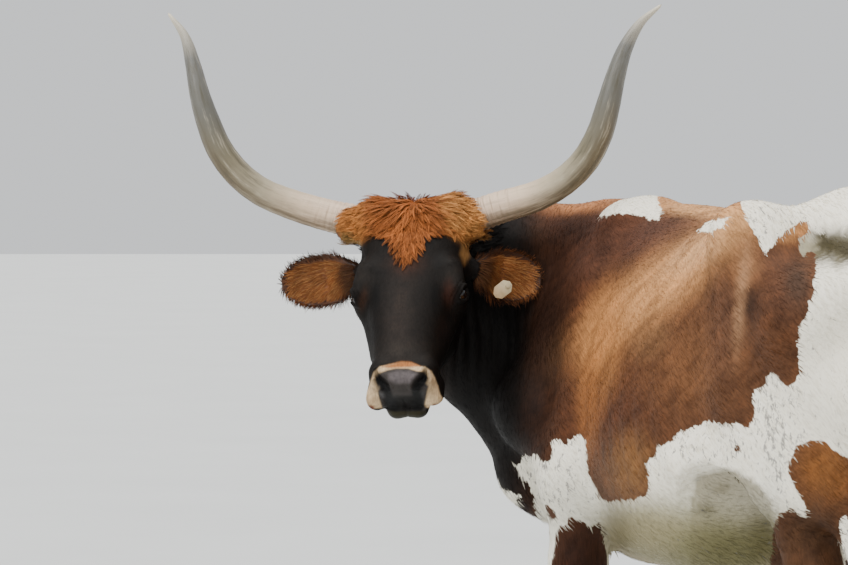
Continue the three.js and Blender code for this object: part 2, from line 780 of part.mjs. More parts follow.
function makeEyelidOpening(side) {
  const almond = new THREE.Shape();
  almond.moveTo(-17, -2);
  almond.quadraticCurveTo(-2, 16, 17, 1);
  almond.quadraticCurveTo(0, -13, -17, -2);
  const prism = new THREE.ExtrudeGeometry(almond, { depth: 30, bevelEnabled: false, curveSegments: 6 });
  const ahead = eyeWay(side);
  const wide = faceWay(0.86, 0.3, -0.2 * side);
  wide.addScaledVector(ahead, -wide.dot(ahead)).normalize();
  const tall = ahead.clone().cross(wide).normalize();
  const frame = new THREE.Matrix4().makeBasis(wide, tall, ahead);
  prism.applyMatrix4(frame);
  const start = eyeAt(side).addScaledVector(ahead, eyeRadius * 0.3);
  return solidOf(prism.translate(start.x, start.y, start.z));
}

const nostrilGirth = [
  [0, 6, 10],
  [0.25, 11, 17],
  [0.6, 6, 11],
  [1, 2.5, 4],
];
function makeNostril(side) {
  const line = [
    [396, -30, 49],
    [404, -44, 42],
    [412, -55, 32],
    [414, -64, 22],
  ].map((place) => {
    const { point, normal } = onSkin(onFace(place, side));
    return point.addScaledVector(normal, -3);
  });
  const curve = new THREE.CatmullRomCurve3(line);
  const girth = (t) => between(nostrilGirth, t);
  return tube(ringsAlong(curve, 6, girth, faceWay(0.9, 0.42, 0)), 8);
}

// The mouth line: a thin band let into the muzzle all round its front
const mouthLevel = -97;
function makeMouthLine() {
  const shape = new THREE.Shape();
  const inner = [];
  const steps = 14;
  for (let i = 0; i <= steps; i++) {
    const angle = mix(-1.05, 1.05, i / steps) * (Math.PI / 2);
    let reach = 90;
    while (reach > 10 && insideFace(reach, angle) > 0) reach -= 0.5;
    inner.push([Math.sin(angle) * (reach - 8), 380 + Math.cos(angle) * (reach - 8)]);
  }
  inner.forEach(([x, y], i) => (i ? shape.lineTo(x, y) : shape.moveTo(x, y)));
  inner.reverse().forEach(([x, y]) => shape.lineTo(x * 1.35, 380 + (y - 380) * 1.35));
  const band = new THREE.ExtrudeGeometry(shape, { depth: 3, bevelEnabled: false });
  // shape x is across the face and shape y runs down it
  const frame = new THREE.Matrix4().makeBasis(faceWay(0, 0, 1), faceWay(1, 0, 0), faceWay(0, -1, 0));
  const place = facePoint(0, mouthLevel + 1.5, 0);
  return solidOf(band.applyMatrix4(frame).translate(place.x, place.y, place.z));
}

function insideFace(reach, angle) {
  const p = facePoint(380 + Math.cos(angle) * reach, mouthLevel, Math.sin(angle) * reach);
  return flesh(p.x, p.y, p.z);
}

// The cuts that part the flesh
const headCut = {
  point: facePoint(110, -128, 0),
  normal: faceWay(0.42, 0.9, 0),
};
const neckCut = { point: vec(-600, -10, 1000), normal: vec(-1, -0.42, 0).normalize() };

function cutEnds(name) {
  const { start, outward } = hornEdge(name);
  const { out, root } = earBasis(name);
  return { hornWayOut: outward, hornStart: start, earWayOut: out, earStart: root };
}

function makeHead() {
  const gridX = gridLines(-260, 60, 20);
  const gridY = gridLines(-190, 190, 20);
  const gridZ = gridLines(-480, 70, 22, [[-450, -370, 13]]);
  let head = meshField(flesh, gridX, gridY, gridZ, headFrame);
  head = head.intersect(beyond(headCut.point, headCut.normal));
  for (const name of Object.keys(sides)) {
    const { hornWayOut, hornStart, earWayOut, earStart } = cutEnds(name);
    const back = (point, way) => point.clone().addScaledVector(way.clone().normalize(), -gap);
    head = head.subtract(beyond(back(hornStart, hornWayOut), hornWayOut, 110, 90, 110));
    head = head.subtract(beyond(back(earStart, earWayOut), earWayOut, 90, 90, 90));
  }
  for (const side of [1, -1]) {
    head = head.add(ball(eyeAt(side), eyeRadius + 4.5, 14, 9));
    head = head.subtract(ball(eyeAt(side), eyeRadius + 0.5, 12, 9));
    head = head.subtract(makeEyelidOpening(side)).subtract(makeNostril(side));
  }
  return largest(head.subtract(makeMouthLine()));
}

// Hair locks: flat, tapered and bent, with their roots in the node that they grow from
function makeLock(root, way, lift, length, width, thick, bend, steps = 3) {
  const side = way.clone().cross(lift).normalize();
  const rings = [];
  for (let i = 0; i <= steps; i++) {
    const t = i / steps;
    const rise = length * mix(-0.1, 0.07, Math.sin((Math.min(t * 1.6, 1) * Math.PI) / 2));
    const sway = Math.sin(t * Math.PI) * bend;
    const centre = root.clone().addScaledVector(way, t * length - 0.1 * length);
    centre.addScaledVector(lift, rise).addScaledVector(side, sway);
    const full = (1 - t * t * 0.72) * (0.65 + 0.6 * Math.sin(Math.PI * Math.min(t + 0.15, 1)));
    const halfTall = (thick / 2) * (1 - 0.7 * t);
    rings.push({ centre, wide: side, tall: lift, halfWide: (width / 2) * full, halfTall });
  }
  const last = rings[rings.length - 1];
  last.tip = last.centre.clone().addScaledVector(way, width * 0.2);
  return tube(rings, 4);
}

let seed = 20260417;
function random() {
  seed = (seed * 1664525 + 1013904223) % 4294967296;
  return seed / 4294967296;
}

// The nearest skin point below a place, and the way out of the skin there
function onSkin(point) {
  const p = settle(flesh, point.clone(), 60);
  return { point: settle(flesh, p, 20), normal: slopeOf(flesh, p.x, p.y, p.z).normalize() };
}

// The shock of hair on the poll parts at the middle and runs out to the horns and down the forehead
const pollRows = [
  [-18, -60, 80, 4],
  [2, -20, 90, 6],
  [26, -4, 82, 5],
  [48, 4, 56, 4],
  [72, 8, 26, 3],
];
function pollLocks() {
  const locks = [];
  pollRows.forEach(([down, out, spread, count], row) => {
    for (let n = 0; n < count; n++) {
      const share = (n / (count - 1)) * 2 - 1;
      const { point, normal } = onSkin(facePoint(down + (random() - 0.5) * 8, out, share * spread));
      const way = faceWay(0.5 + 0.6 * (1 - Math.abs(share)) + row * 0.12, 0.02, share * 0.95);
      way.addScaledVector(normal, -way.dot(normal)).normalize();
      const length = mix(56, 68, random());
      locks.push(makeLock(point, way, normal, length, mix(26, 34, random()), 11, (random() - 0.5) * 16));
    }
  });
  return locks;
}

function makeHeadWithHair() {
  let hair = wasm.Manifold.union(pollLocks()).intersect(beyond(headCut.point, headCut.normal));
  for (const name of Object.keys(sides)) hair = hair.subtract(makeHorn(name, 2 * gap));
  return largest(makeHead().add(hair));
}

// Tail: from its root down behind the thighs, with the switch of long hair below
const tailLine = [
  [tailPlane.x - 9, 0, tailPlane.z + 12],
  [822, 0, tailPlane.z - 56],
  [842, -2, 1110],
  [848, -6, 910],
  [844, -10, 700],
  [840, -12, 560],
  [838, -12, 480],
];
const tailGirth = [[0, 33], [0.12, 27], [0.3, 21], [0.6, 16], [1, 10]];
// The long hair of the switch hangs round a core that ends about half way down it
const switchPlace = { x: 839, y: -11 };
const switchTop = 650;
const switchEnd = 262;
const coreEnd = 440;
const switchLocks = 12;
const goldenAngle = 2.4;
const switchGirth = [
  [0, 15],
  [0.35, 27],
  [1, 12],
];

function makeTail() {
  const curve = new THREE.CatmullRomCurve3(tailLine.map(([x, y, z]) => vec(x, y, z)));
  const girth = (t) => between(tailGirth, t)[0];
  const bone = tube(ringsAlong(curve, 14, (t) => [girth(t), girth(t)], vec(0, 1, 0)), 10);
  const { x, y } = switchPlace;
  const hang = new THREE.LineCurve3(vec(x, y, switchTop), vec(x, y, coreEnd));
  const thick = (t) => between(switchGirth, t)[0];
  const core = tube(ringsAlong(hang, 4, (t) => [thick(t), thick(t)], vec(0, 1, 0)), 8);
  const locks = [];
  for (let n = 0; n < switchLocks; n++) {
    const share = n / (switchLocks - 1);
    const angle = n * goldenAngle;
    const height = mix(switchTop - 40, coreEnd + 40, share);
    const ring = mix(17, 13, share);
    const root = vec(x + Math.cos(angle) * ring, y + Math.sin(angle) * ring, height);
    const outward = vec(Math.cos(angle), Math.sin(angle), 0);
    const way = vec(outward.x * 0.05, outward.y * 0.05, -1).normalize();
    const length = (height - switchEnd) * mix(0.6, 1, share) - random() * 24;
    locks.push(makeLock(root, way, outward, length, mix(24, 30, random()), 13, (random() - 0.5) * 14, 4));
  }
  const start = vec(tailPlane.x, 0, tailPlane.z);
  return largest(wasm.Manifold.union([bone, core, ...locks]).intersect(beyond(start, tailWay)));
}

// Hooves: two claws on each foot
// The wall slopes back from the toe, and the line where it meets the hair falls towards the heel
const hoofLength = 108;
const hoofRise = 72;
const toeSlope = 0.78;
const heelSlope = 0.12;
const coronetPlace = { x: -10, z: 58 };
const coronetWay = vec(0.3, 0, 0.95);
const footSpread = 159;
const clawSpread = 25;
function makeClaw(inward) {
  const rings = [0, 0.2, 0.6, 1].map((share) => ({
    centre: vec((hoofRise * share * (toeSlope + heelSlope)) / 2, 0, hoofRise * share),
    wide: vec(1, 0, 0),
    tall: vec(0, 1, 0),
    halfWide: (hoofLength - hoofRise * share * (toeSlope - heelSlope)) / 2,
    halfTall: mix(23.5, 18.5, share * share),
    outline(angle) {
      const ahead = -Math.cos(angle);
      const across = Math.sin(angle);
      const toward = across * inward > 0 ? 0.72 : 1;
      const narrow = 1 - 0.34 * Math.pow(Math.max(ahead, 0), 2);
      return [-ahead * (ahead > 0 ? 1.06 : 0.92), across * toward * narrow];
    },
  }));
  const coronet = vec(coronetPlace.x, 0, coronetPlace.z);
  return tube(rings, 10).subtract(blockBeyond(coronet, coronetWay));
}

// A leg from its parting with the body down to the hooves
const legCut = {
  front: { point: [-405, 165, 652], normal: [0, -0.3, -1], box: [[-760, -318], [90, 330]] },
  hind: { point: [478, 180, 722], normal: [0.2, -0.36, -1], box: [[330, 900], [88, 330]] },
};
function legBlock(end, side, shrink) {
  const { point, normal, box } = legCut[end];
  const [px, py, pz] = point;
  const way = vec(normal[0], normal[1] * side, normal[2]).normalize();
  const top = vec(px, py * side, pz).addScaledVector(way, -shrink);
  const [[x0, x1], [y0, y1]] = box;
  const column = new THREE.BoxGeometry(x1 - x0 + 2 * shrink, y1 - y0 + 2 * shrink, 1400);
  column.translate((x0 + x1) / 2, (side * (y0 + y1)) / 2, 700 - 300);
  return solidOf(column).intersect(blockBeyond(top, way));
}

function makeLeg(end, name) {
  const side = sides[name];
  const shift = shiftOf(end, name);
  const [x0, x1] = end === "front" ? [-690, -260] : [200, 800];
  const y = side > 0 ? [40, 330] : [-330, -40];
  const fineFoot = [[14, 190, 22]];
  const rise = gridLines(14, 800, 38, fineFoot);
  const leg = meshField(flesh, gridLines(x0, x1, 32), gridLines(y[0], y[1], 28), rise);
  const coronet = vec(legLines[end].foot + shift + coronetPlace.x, 0, coronetPlace.z);
  return largest(leg.intersect(legBlock(end, side, 0)).intersect(beyond(coronet, coronetWay)));
}

function makeTrunk() {
  const gridX = gridLines(-900, 860, 54);
  const gridY = gridLines(-364, 372, 49);
  const body = meshField(flesh, gridX, gridY, gridLines(540, 1400, 49));
  let trunk = body.subtract(beyond(neckCut.point, neckCut.normal));
  for (const side of Object.values(sides))
    for (const end of ["front", "hind"]) trunk = trunk.subtract(legBlock(end, side, gap));
  const tailStart = vec(tailPlane.x, 0, tailPlane.z).addScaledVector(tailWay, -gap);
  trunk = trunk.subtract(beyond(tailStart, tailWay, 120, 120, 120));
  return largest(trunk.subtract(udderBlock(gap)));
}

// The udder is parted from the belly by a level cut between the thighs
const udderCut = { top: 724, box: [[322, 604], [-86, 86]] };
const teat = { rows: [442, 512], line: [[38, 698], [41, 655], [43, 626]], top: 13, end: 8 };
function udderBlock(shrink) {
  const [[x0, x1], [y0, y1]] = udderCut.box;
  const block = new THREE.BoxGeometry(x1 - x0 + 2 * shrink, y1 - y0 + 2 * shrink, 400);
  block.translate((x0 + x1) / 2, (y0 + y1) / 2, udderCut.top + shrink - 200);
  return solidOf(block);
}

function makeUdder() {
  const bag = meshField(flesh, gridLines(300, 650, 32), gridLines(-136, 136, 30), gridLines(570, 770, 30));
  const teats = [];
  const girth = (t) => [mix(teat.top, teat.end, t), mix(teat.top, teat.end, t)];
  for (const x of teat.rows)
    for (const side of [-1, 1]) {
      const way = teat.line.map(([out, height]) => vec(x, out * side, height));
      teats.push(tube(ringsAlong(new THREE.CatmullRomCurve3(way), 4, girth, vec(0, 1, 0)), 8));
    }
  return largest(wasm.Manifold.union([bag.intersect(udderBlock(0)), ...teats]));
}

function makeNeck() {
  const gridX = gridLines(-960, -480, 44);
  const gridY = gridLines(-520, 190, 42);
  const neck = meshField(flesh, gridX, gridY, gridLines(640, 1400, 45));
  const headSide = headCut.point.clone().addScaledVector(headCut.normal, -gap / 2);
  const front = beyond(neckCut.point.clone().addScaledVector(neckCut.normal, gap), neckCut.normal);
  const parted = neck.intersect(front).subtract(blockBeyond(headSide, headCut.normal));
  const clear = [makeHorn("left", 2 * gap), makeHorn("right", 2 * gap), makeEar("left", 2)];
  return largest(clear.reduce((solid, one) => solid.subtract(one), parted));
}

// The tag in the left ear: a small blank plate with cut corners, in a frame of its own
const tagSize = { width: 29, height: 45, corner: 7, thick: 2.4 };
const tagPlace = { along: 0.42, drop: 31, proud: 4, tilt: 42 };
function makeTag() {
  const plate = new THREE.Shape();
  const [w, h, c] = [tagSize.width / 2, tagSize.height / 2, tagSize.corner];
  plate.moveTo(-w + c, -h);
  plate.lineTo(w - c, -h);
  plate.lineTo(w, -h + c);
  plate.lineTo(w, h - c);
  plate.lineTo(w - c, h);
  plate.lineTo(-w + c, h);
  plate.lineTo(-w, h - c);
  plate.lineTo(-w, -h + c);
  return solidOf(new THREE.ExtrudeGeometry(plate, { depth: tagSize.thick, bevelEnabled: false }));
}

function tagFrame() {
  const { out, face, edge, root } = earBasis("left");
  const place = root.clone().addScaledVector(out, earLength * tagPlace.along);
  place.addScaledVector(edge, tagPlace.drop).addScaledVector(face, tagPlace.proud);
  const turn = new THREE.Matrix4().makeRotationZ(THREE.MathUtils.degToRad(tagPlace.tilt));
  return new THREE.Matrix4().makeBasis(edge, out, face).multiply(turn).setPosition(place);
}

const finish = {
  darkHide: { color: 0x2a1c18, roughness: 0.75 },
  redHide: { color: 0x7a4326, roughness: 0.75 },
  horn: { color: 0xb9a88f, roughness: 0.45 },
  eye: { color: 0x120c0a, roughness: 0.12 },
  hoof: { color: 0x3a332e, roughness: 0.55 },
  udder: { color: 0xc7ad94, roughness: 0.7 },
  tag: { color: 0xd8c39a, roughness: 0.5 },
};

const model = new THREE.Group();
function addNode(name, solid, look, frame = new THREE.Matrix4()) {
  const material = new THREE.MeshStandardMaterial({ ...finish[look], metalness: 0 });
  const mesh = new THREE.Mesh(geometryOf(solid), material);
  mesh.name = name;
  frame.decompose(mesh.position, mesh.quaternion, mesh.scale);
  model.add(mesh);
}

addNode("torso", makeTrunk(), "redHide");
addNode("neck", makeNeck(), "darkHide");
addNode("head", makeHeadWithHair(), "darkHide");
addNode("tail", makeTail(), "redHide");
addNode("udder", makeUdder(), "udder");
for (const name of Object.keys(sides)) {
  const across = name === "left" ? 1 : -1;
  addNode("horn_" + name, makeHorn(name), "horn");
  addNode("ear_" + name, makeEar(name), "darkHide");
  const eyeFrame = new THREE.Matrix4().setPosition(eyeAt(across));
  addNode("eye_" + name, ball(vec(0, 0, 0), eyeRadius, 12, 8), "eye", eyeFrame);
  for (const end of ["front", "hind"]) {
    const side = sides[name];
    addNode(`${end}_leg_${name}`, makeLeg(end, name), "redHide");
    const foot = legLines[end].foot + shiftOf(end, name);
    for (const [claw, inward] of [
      ["outer", -side],
      ["inner", side],
    ]) {
      const clawFrame = new THREE.Matrix4().setPosition(foot, side * footSpread - inward * clawSpread, 0);
      addNode(`${end}_hoof_${name}_${claw}`, makeClaw(inward), "hoof", clawFrame);
    }
  }
}
addNode("ear_tag", makeTag(), "tag", tagFrame());

// Set the model down with its origin below the middle of its bounding box
const bounds = new THREE.Box3().setFromObject(model);
const middle = bounds.getCenter(new THREE.Vector3());
model.position.set(-middle.x, -middle.y, -bounds.min.z);

export default model;
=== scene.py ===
import math

import bmesh
import bpy
import numpy as np
from mathutils import Matrix, Vector
from mathutils.bvhtree import BVHTree


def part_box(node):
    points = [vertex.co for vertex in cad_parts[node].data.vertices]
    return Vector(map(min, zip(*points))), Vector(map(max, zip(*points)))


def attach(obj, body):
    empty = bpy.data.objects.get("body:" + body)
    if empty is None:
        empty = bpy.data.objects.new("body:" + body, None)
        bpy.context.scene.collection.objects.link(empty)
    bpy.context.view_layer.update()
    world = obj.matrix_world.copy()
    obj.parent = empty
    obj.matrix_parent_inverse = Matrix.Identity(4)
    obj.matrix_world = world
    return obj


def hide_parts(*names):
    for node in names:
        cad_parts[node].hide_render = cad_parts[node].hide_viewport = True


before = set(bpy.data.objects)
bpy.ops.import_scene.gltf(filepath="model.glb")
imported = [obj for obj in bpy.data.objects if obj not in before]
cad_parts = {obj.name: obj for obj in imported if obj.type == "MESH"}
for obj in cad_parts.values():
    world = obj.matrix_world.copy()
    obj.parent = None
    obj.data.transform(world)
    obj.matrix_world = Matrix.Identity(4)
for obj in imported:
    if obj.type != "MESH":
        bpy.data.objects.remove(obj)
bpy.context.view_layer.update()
rng = np.random.default_rng(41)
metre = 1000.0
# Signs of y on the body and of the way across the head
bodySides = {"left": -1, "right": 1}
headSides = {"left": 1, "right": -1}
print("Frame loaded")


def mix(a, b, t):
    return a + (b - a) * t


def unit(v):
    v = np.asarray(v, float)
    return v / np.maximum(np.linalg.norm(v, axis=-1, keepdims=True), 1e-9)


def turnAbout(axis, angle):
    return np.array(Matrix.Rotation(angle, 3, Vector(axis)))


# The head's frame: out of the forehead, to the cow's left, and up the face to the poll
headPose = {"azimuth": 63, "yaw": 10, "roll": 2.8, "pitch": 35, "poll": (-665, -415, 1325)}


def makeHeadAxes():
    azimuth = math.radians(headPose["azimuth"])
    ahead = np.array([math.sin(azimuth), -math.cos(azimuth), 0])
    across = np.array([math.cos(azimuth), math.sin(azimuth), 0])
    up = np.array([0, 0, 1.0])
    roll = turnAbout(ahead, math.radians(headPose["roll"]))
    across, up = roll @ across, roll @ up
    yaw = turnAbout(up, -math.radians(headPose["yaw"]))
    level = np.column_stack([yaw @ ahead, yaw @ across, up])
    return level, level @ turnAbout((0, 1, 0), -math.radians(headPose["pitch"]))


levelAxes, headAxes = makeHeadAxes()
poll = np.array(headPose["poll"], float)


def facePoint(down, out, across):
    return poll + headAxes @ np.array([out, across, -down], float)


def faceWay(down, out, across):
    return unit(headAxes @ np.array([out, across, -down], float))


def levelPoint(ahead, across, up):
    return poll + levelAxes @ np.array([ahead, across, up], float)


def onFace(place, side):
    return facePoint(place[0], place[1], place[2] * side)


eye = {"place": (198, -56, 97), "radius": 20}


def eyeAt(side):
    return onFace(eye["place"], side)


def nodeCentre(name):
    low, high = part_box(name)
    return np.array((low + high) / 2) * metre


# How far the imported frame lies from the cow's own
shift = nodeCentre("eye_left") - eyeAt(1)
shift[2] = 0


def toFrame(points):
    return (np.asarray(points, float) + shift) / metre


def fromFrame(points):
    return np.asarray(points, float) * metre - shift


# Camera: low and far off, level with the back, as the photograph was taken
view = {
    "place": (7869, -4734, 1450),
    "back": (0.891, -0.454),
    "pitch": 1.73,
    "lens": 200,
    "sensor": 36,
    "far": 60,
}


def makeCamera():
    pitch = math.radians(view["pitch"])
    flat = unit([*view["back"], 0])
    back = flat * math.cos(pitch) + np.array([0, 0, math.sin(pitch)])
    right = unit(np.cross([0, 0, 1], back))
    up = np.cross(back, right)
    bpy.ops.object.camera_add(location=toFrame(view["place"]))
    camera = bpy.context.object
    camera.rotation_euler = Matrix(np.column_stack([right, up, back])).to_euler()
    camera.data.lens = view["lens"]
    camera.data.sensor_width = view["sensor"]
    camera.data.clip_end = view["far"]
    bpy.context.scene.camera = camera
    return right, up, back


photoRight, photoUp, photoBack = makeCamera()
photo = {"width": 848, "height": 565}
photoFocus = photo["width"] * view["lens"] / view["sensor"]


def photoPixels(points):
    away = points - np.array(view["place"], float)
    depth = -away @ photoBack
    across = photo["width"] / 2 + away @ photoRight * photoFocus / depth
    down = photo["height"] / 2 - away @ photoUp * photoFocus / depth
    return np.column_stack([across, down])


print("Camera set")


# Flesh: a smooth field of named forms, as in the solids. A form gives the distance to its surface
def blend(a, b, softness):
    near = np.maximum(softness - np.abs(a - b), 0) / softness
    return np.minimum(a, b) - near * near * softness / 4


def limb(start, end, startRadius, endRadius, softness):
    start, end = np.asarray(start, float), np.asarray(end, float)
    axis = end - start
    lengthSquared = max(axis @ axis, 1e-6)

    def measure(p):
        away = p - start
        t = np.clip(away @ axis / lengthSquared, 0, 1)
        gap = np.linalg.norm(away - t[:, None] * axis, axis=1)
        return gap - mix(startRadius, endRadius, t)

    reach = math.sqrt(lengthSquared) / 2 + max(startRadius, endRadius)
    return {"softness": softness, "centre": (start + end) / 2, "reach": reach, "measure": measure}


def lump(centre, radii, softness, axes=None):
    centre, radii = np.asarray(centre, float), np.asarray(radii, float)
    axes = np.eye(3) if axes is None else axes

    def measure(p):
        q = (p - centre) @ axes / radii
        near = np.linalg.norm(q, axis=1)
        slope = np.linalg.norm(q / radii, axis=1)
        return np.where(near < 1e-9, -radii.min(), near * (near - 1) / np.maximum(slope, 1e-9))

    return {"softness": softness, "centre": centre, "reach": radii.max(), "measure": measure}


# Smooth values between stations, each (place, value, ...)
def between(stations, place):
    s = np.asarray(stations, float)
    last = len(s) - 1
    p = np.clip(place, s[0, 0], s[-1, 0])
    i = np.clip(np.searchsorted(s[:, 0], p, side="left") - 1, 0, last - 1)
    a, b = s[i], s[i + 1]
    before, after = s[np.maximum(i - 1, 0)], s[np.minimum(i + 2, last)]
    span = (b[..., 0] - a[..., 0])[..., None]
    t = ((p - a[..., 0]) / (b[..., 0] - a[..., 0]))[..., None]
    slopeA = (b[..., 1:] - before[..., 1:]) / (b[..., :1] - before[..., :1]) * span
    slopeB = (after[..., 1:] - a[..., 1:]) / (after[..., :1] - a[..., :1]) * span
    t2, t3 = t * t, t * t * t
    start = (2 * t3 - 3 * t2 + 1) * a[..., 1:] + (t3 - 2 * t2 + t) * slopeA
    return start + (3 * t2 - 2 * t3) * b[..., 1:] + (t3 - t2) * slopeB


# A body whose egg-shaped section changes along it: top, bottom, half width and widest height
def lofted(stations, roof, keel, endRound):
    first, last = stations[0][0], stations[-1][0]

    def measure(along, across, height):
        top, bottom, half, wide = between(stations, along).T
        above = height > wide
        tall = np.where(above, top - wide, wide - bottom)
        power = np.where(above, roof, keel)
        rise = np.abs(height - wide) / tall
        spread = np.abs(across) / half
        radial = (spread**power + rise**power) ** (1 / power)
        slope = np.maximum(np.hypot(spread / half, rise / tall), 1e-9)
        size = np.where(radial < 1e-6, half, radial / slope)
        wall = (radial - 1) * np.clip(size, np.minimum(half, tall) * 0.5, np.maximum(half, tall))
        end = np.maximum(first - along, along - last)
        return -blend(-wall, -end, endRound)

    return measure


body = {
    "withers": 1322,
    "hip": 1356,
    "chest": 600,
    "belly": 588,
    "barrel": 305,
    "hooks": 222,
    "pins": 124,
    "headLength": 440,
}
trunkStations = [
    (-660, 1160, 735, 96, 900),
    (-560, 1276, 650, 140, 880),
    (-420, body["withers"] - 2, body["chest"], 178, 875),
    (-250, body["withers"] + 3, body["chest"] - 4, 232, 880),
    (-40, body["withers"] - 7, body["belly"], 290, 862),
    (110, body["withers"] - 5, body["belly"] + 6, body["barrel"], 858),
    (210, body["withers"] + 4, body["belly"] + 50, 288, 875),
    (310, body["hip"] - 19, body["belly"] + 130, 258, 905),
    (400, body["hip"] - 8, 770, 220, 950),
    (560, body["hip"] - 13, 830, 182, 1030),
    (700, body["hip"] - 52, 920, 128, 1085),
]
headStations = [
    (-10, -44, -104, 66, -72),
    (18, -12, -138, 103, -70),
    (70, 2, -164, 111, -74),
    (135, 5, -188, 102, -64),
    (188, 5, -206, 98, -62),
    (238, 2, -198, 86, -66),
    (290, -3, -164, 75, -68),
    (340, -8, -138, 69, -66),
    (380, -14, -124, 67, -68),
    (408, -28, -120, 62, -76),
    (body["headLength"] - 12, -62, -116, 50, -88),
]
trunkField = lofted(trunkStations, 1.9, 2.15, 70)
skullField = lofted(headStations, 2.3, 2.0, 36)


def measureSkull(p):
    q = (p - poll) @ headAxes
    return skullField(-q[:, 2], q[:, 1], q[:, 0])


trunkForm = {
    "softness": 50,
    "centre": np.array([20.0, 0, 950]),
    "reach": 900,
    "measure": lambda p: trunkField(p[:, 0], p[:, 1], p[:, 2]),
}
skullForm = {"softness": 46, "centre": facePoint(220, -90, 0), "reach": 330, "measure": measureSkull}


# A chain of limbs through places (x, y, z, radius)
def chain(places, softness):
    return [limb(q[:3], p[:3], q[3], p[3], softness) for q, p in zip(places, places[1:])]


def mirrored(places, side):
    return [(x, y * side, z, r) for x, y, z, r in places]


# Landmarks of the right side; the left side has y turned round
hook = (345, body["hooks"], body["hip"] - 96)
pin = (752, body["pins"], body["hip"] - 146)
sacrum = (400, 50, body["hip"] - 46)
stifle = (446, 190, 826)
hockPoint = (706, 158, 545)
bladeTop = (-425, 52, 1232)
shoulderPoint = (-598, 158, 902)
elbow = (-392, 178, 762)


def bonesAndMuscles(side):
    lines = [
        ([(*bladeTop, 50), (*shoulderPoint, 84)], 75),
        ([(*shoulderPoint, 78), (*elbow, 62)], 60),
        ([(-400, 110, 1150, 55), (*elbow, 64)], 70),
        ([(-350, 184, 772, 36), (-366, 186, 742, 34)], 30),
        ([(*sacrum, 34), (*hook, 36)], 90),
        ([(*hook, 36), (515, 200, 1118, 74), (*pin, 42)], 80),
        ([(60, 124, 1240, 34), (*hook, 30)], 90),
        ([(*hook, 32), (368, 206, 1115, 44)], 110),
        ([(368, 206, 1115, 44), (360, 214, 985, 46), (384, 212, 880, 50)], 110),
    ]
    forms = [form for places, soft in lines for form in chain(mirrored(places, side), soft)]
    forms.append(lump((235, 185 * side, 1110), (110, 60, 130), 90))
    lines = [
        ([(510, 138, 1076, 118), (*stifle, 80)], 70),
        ([(*pin, 50), (706, 150, 965, 82), (610, 168, 790, 58)], 60),
        ([(570, 150, 975, 104), (520, 176, 810, 76)], 60),
        ([(446, 212, 806, 40), (362, 234, 866, 32), (280, 256, 876, 30), (190, 268, 840, 34)], 30),
    ]
    return forms + [form for places, soft in lines for form in chain(mirrored(places, side), soft)]


def underside():
    return [
        lump((480, 0, 755), (120, 86, 92), 40),
        *chain([(350, 0, 776, 60), (480, 0, 810, 84)], 60),
        *chain([(-630, -35, 775, 92), (-690, -98, 760, 72)], 70),
    ]


tailPlace = {"x": 788, "z": body["hip"] - 66}
tailHeadLine = [
    (600, 0, body["hip"] - 52, 46),
    (712, 0, body["hip"] - 48, 40),
    (tailPlace["x"] + 14, 0, tailPlace["z"] - 18, 33),
]
# The neck bends round to the left; crest, middle, throat and dewlap run side by side
neckLines = [
    ([(-430, 0, 1228, 84), (-590, -8, 1226, 80), (-728, -68, 1222, 76), (-812, -188, 1216, 72),
      (-800, -318, 1216, 68)], 90),
    ([(-480, 0, 1040, 150), (-640, -22, 1050, 120), (-752, -96, 1080, 98), (-818, -206, 1100, 84),
      (-790, -318, 1116, 78)], 90),
    ([(-570, -8, 862, 130), (-688, -62, 884, 98), (-772, -142, 944, 76), (-808, -228, 1002, 64),
      (-782, -316, 1036, 56)], 80),
    ([(-668, -72, 712, 58), (-703, -113, 772, 62), (-758, -150, 868, 42), (-796, -208, 938, 34)], 50),
]
earRoot = (102, -98, 98)
hornRoot = (4, -60, 80)


def faceLimb(start, end, startRadius, endRadius, softness, side):
    return limb(onFace(start, side), onFace(end, side), startRadius, endRadius, softness)


def faceForms(side):
    eyeOut = eye["place"][2]
    return [
        faceLimb((150, -30, 84), (192, -34, 100), 26, 20, 24, side),
        faceLimb(eye["place"], (204, -62, eyeOut - 6), 25, 26, 18, side),
        faceLimb((212, -84, 84), (318, -76, 56), 22, 18, 26, side),
        faceLimb((168, -150, 52), (250, -140, 54), 44, 34, 34, side),
        faceLimb((196, -186, 46), (330, -142, 26), 24, 20, 34, side),
        faceLimb((398, -44, 42), (382, -42, 44), 24, 24, 20, side),
        faceLimb((410, -86, 55), (388, -86, 55), 22, 23, 16, side),
        faceLimb((425, -114, 24), (388, -118, 26), 17, 19, 14, side),
        faceLimb(hornRoot, (12, -60, 132), 40, 38, 26, side),
        faceLimb(earRoot, (earRoot[0] + 2, earRoot[1] - 8, 124), 26, 21, 22, side),
    ]


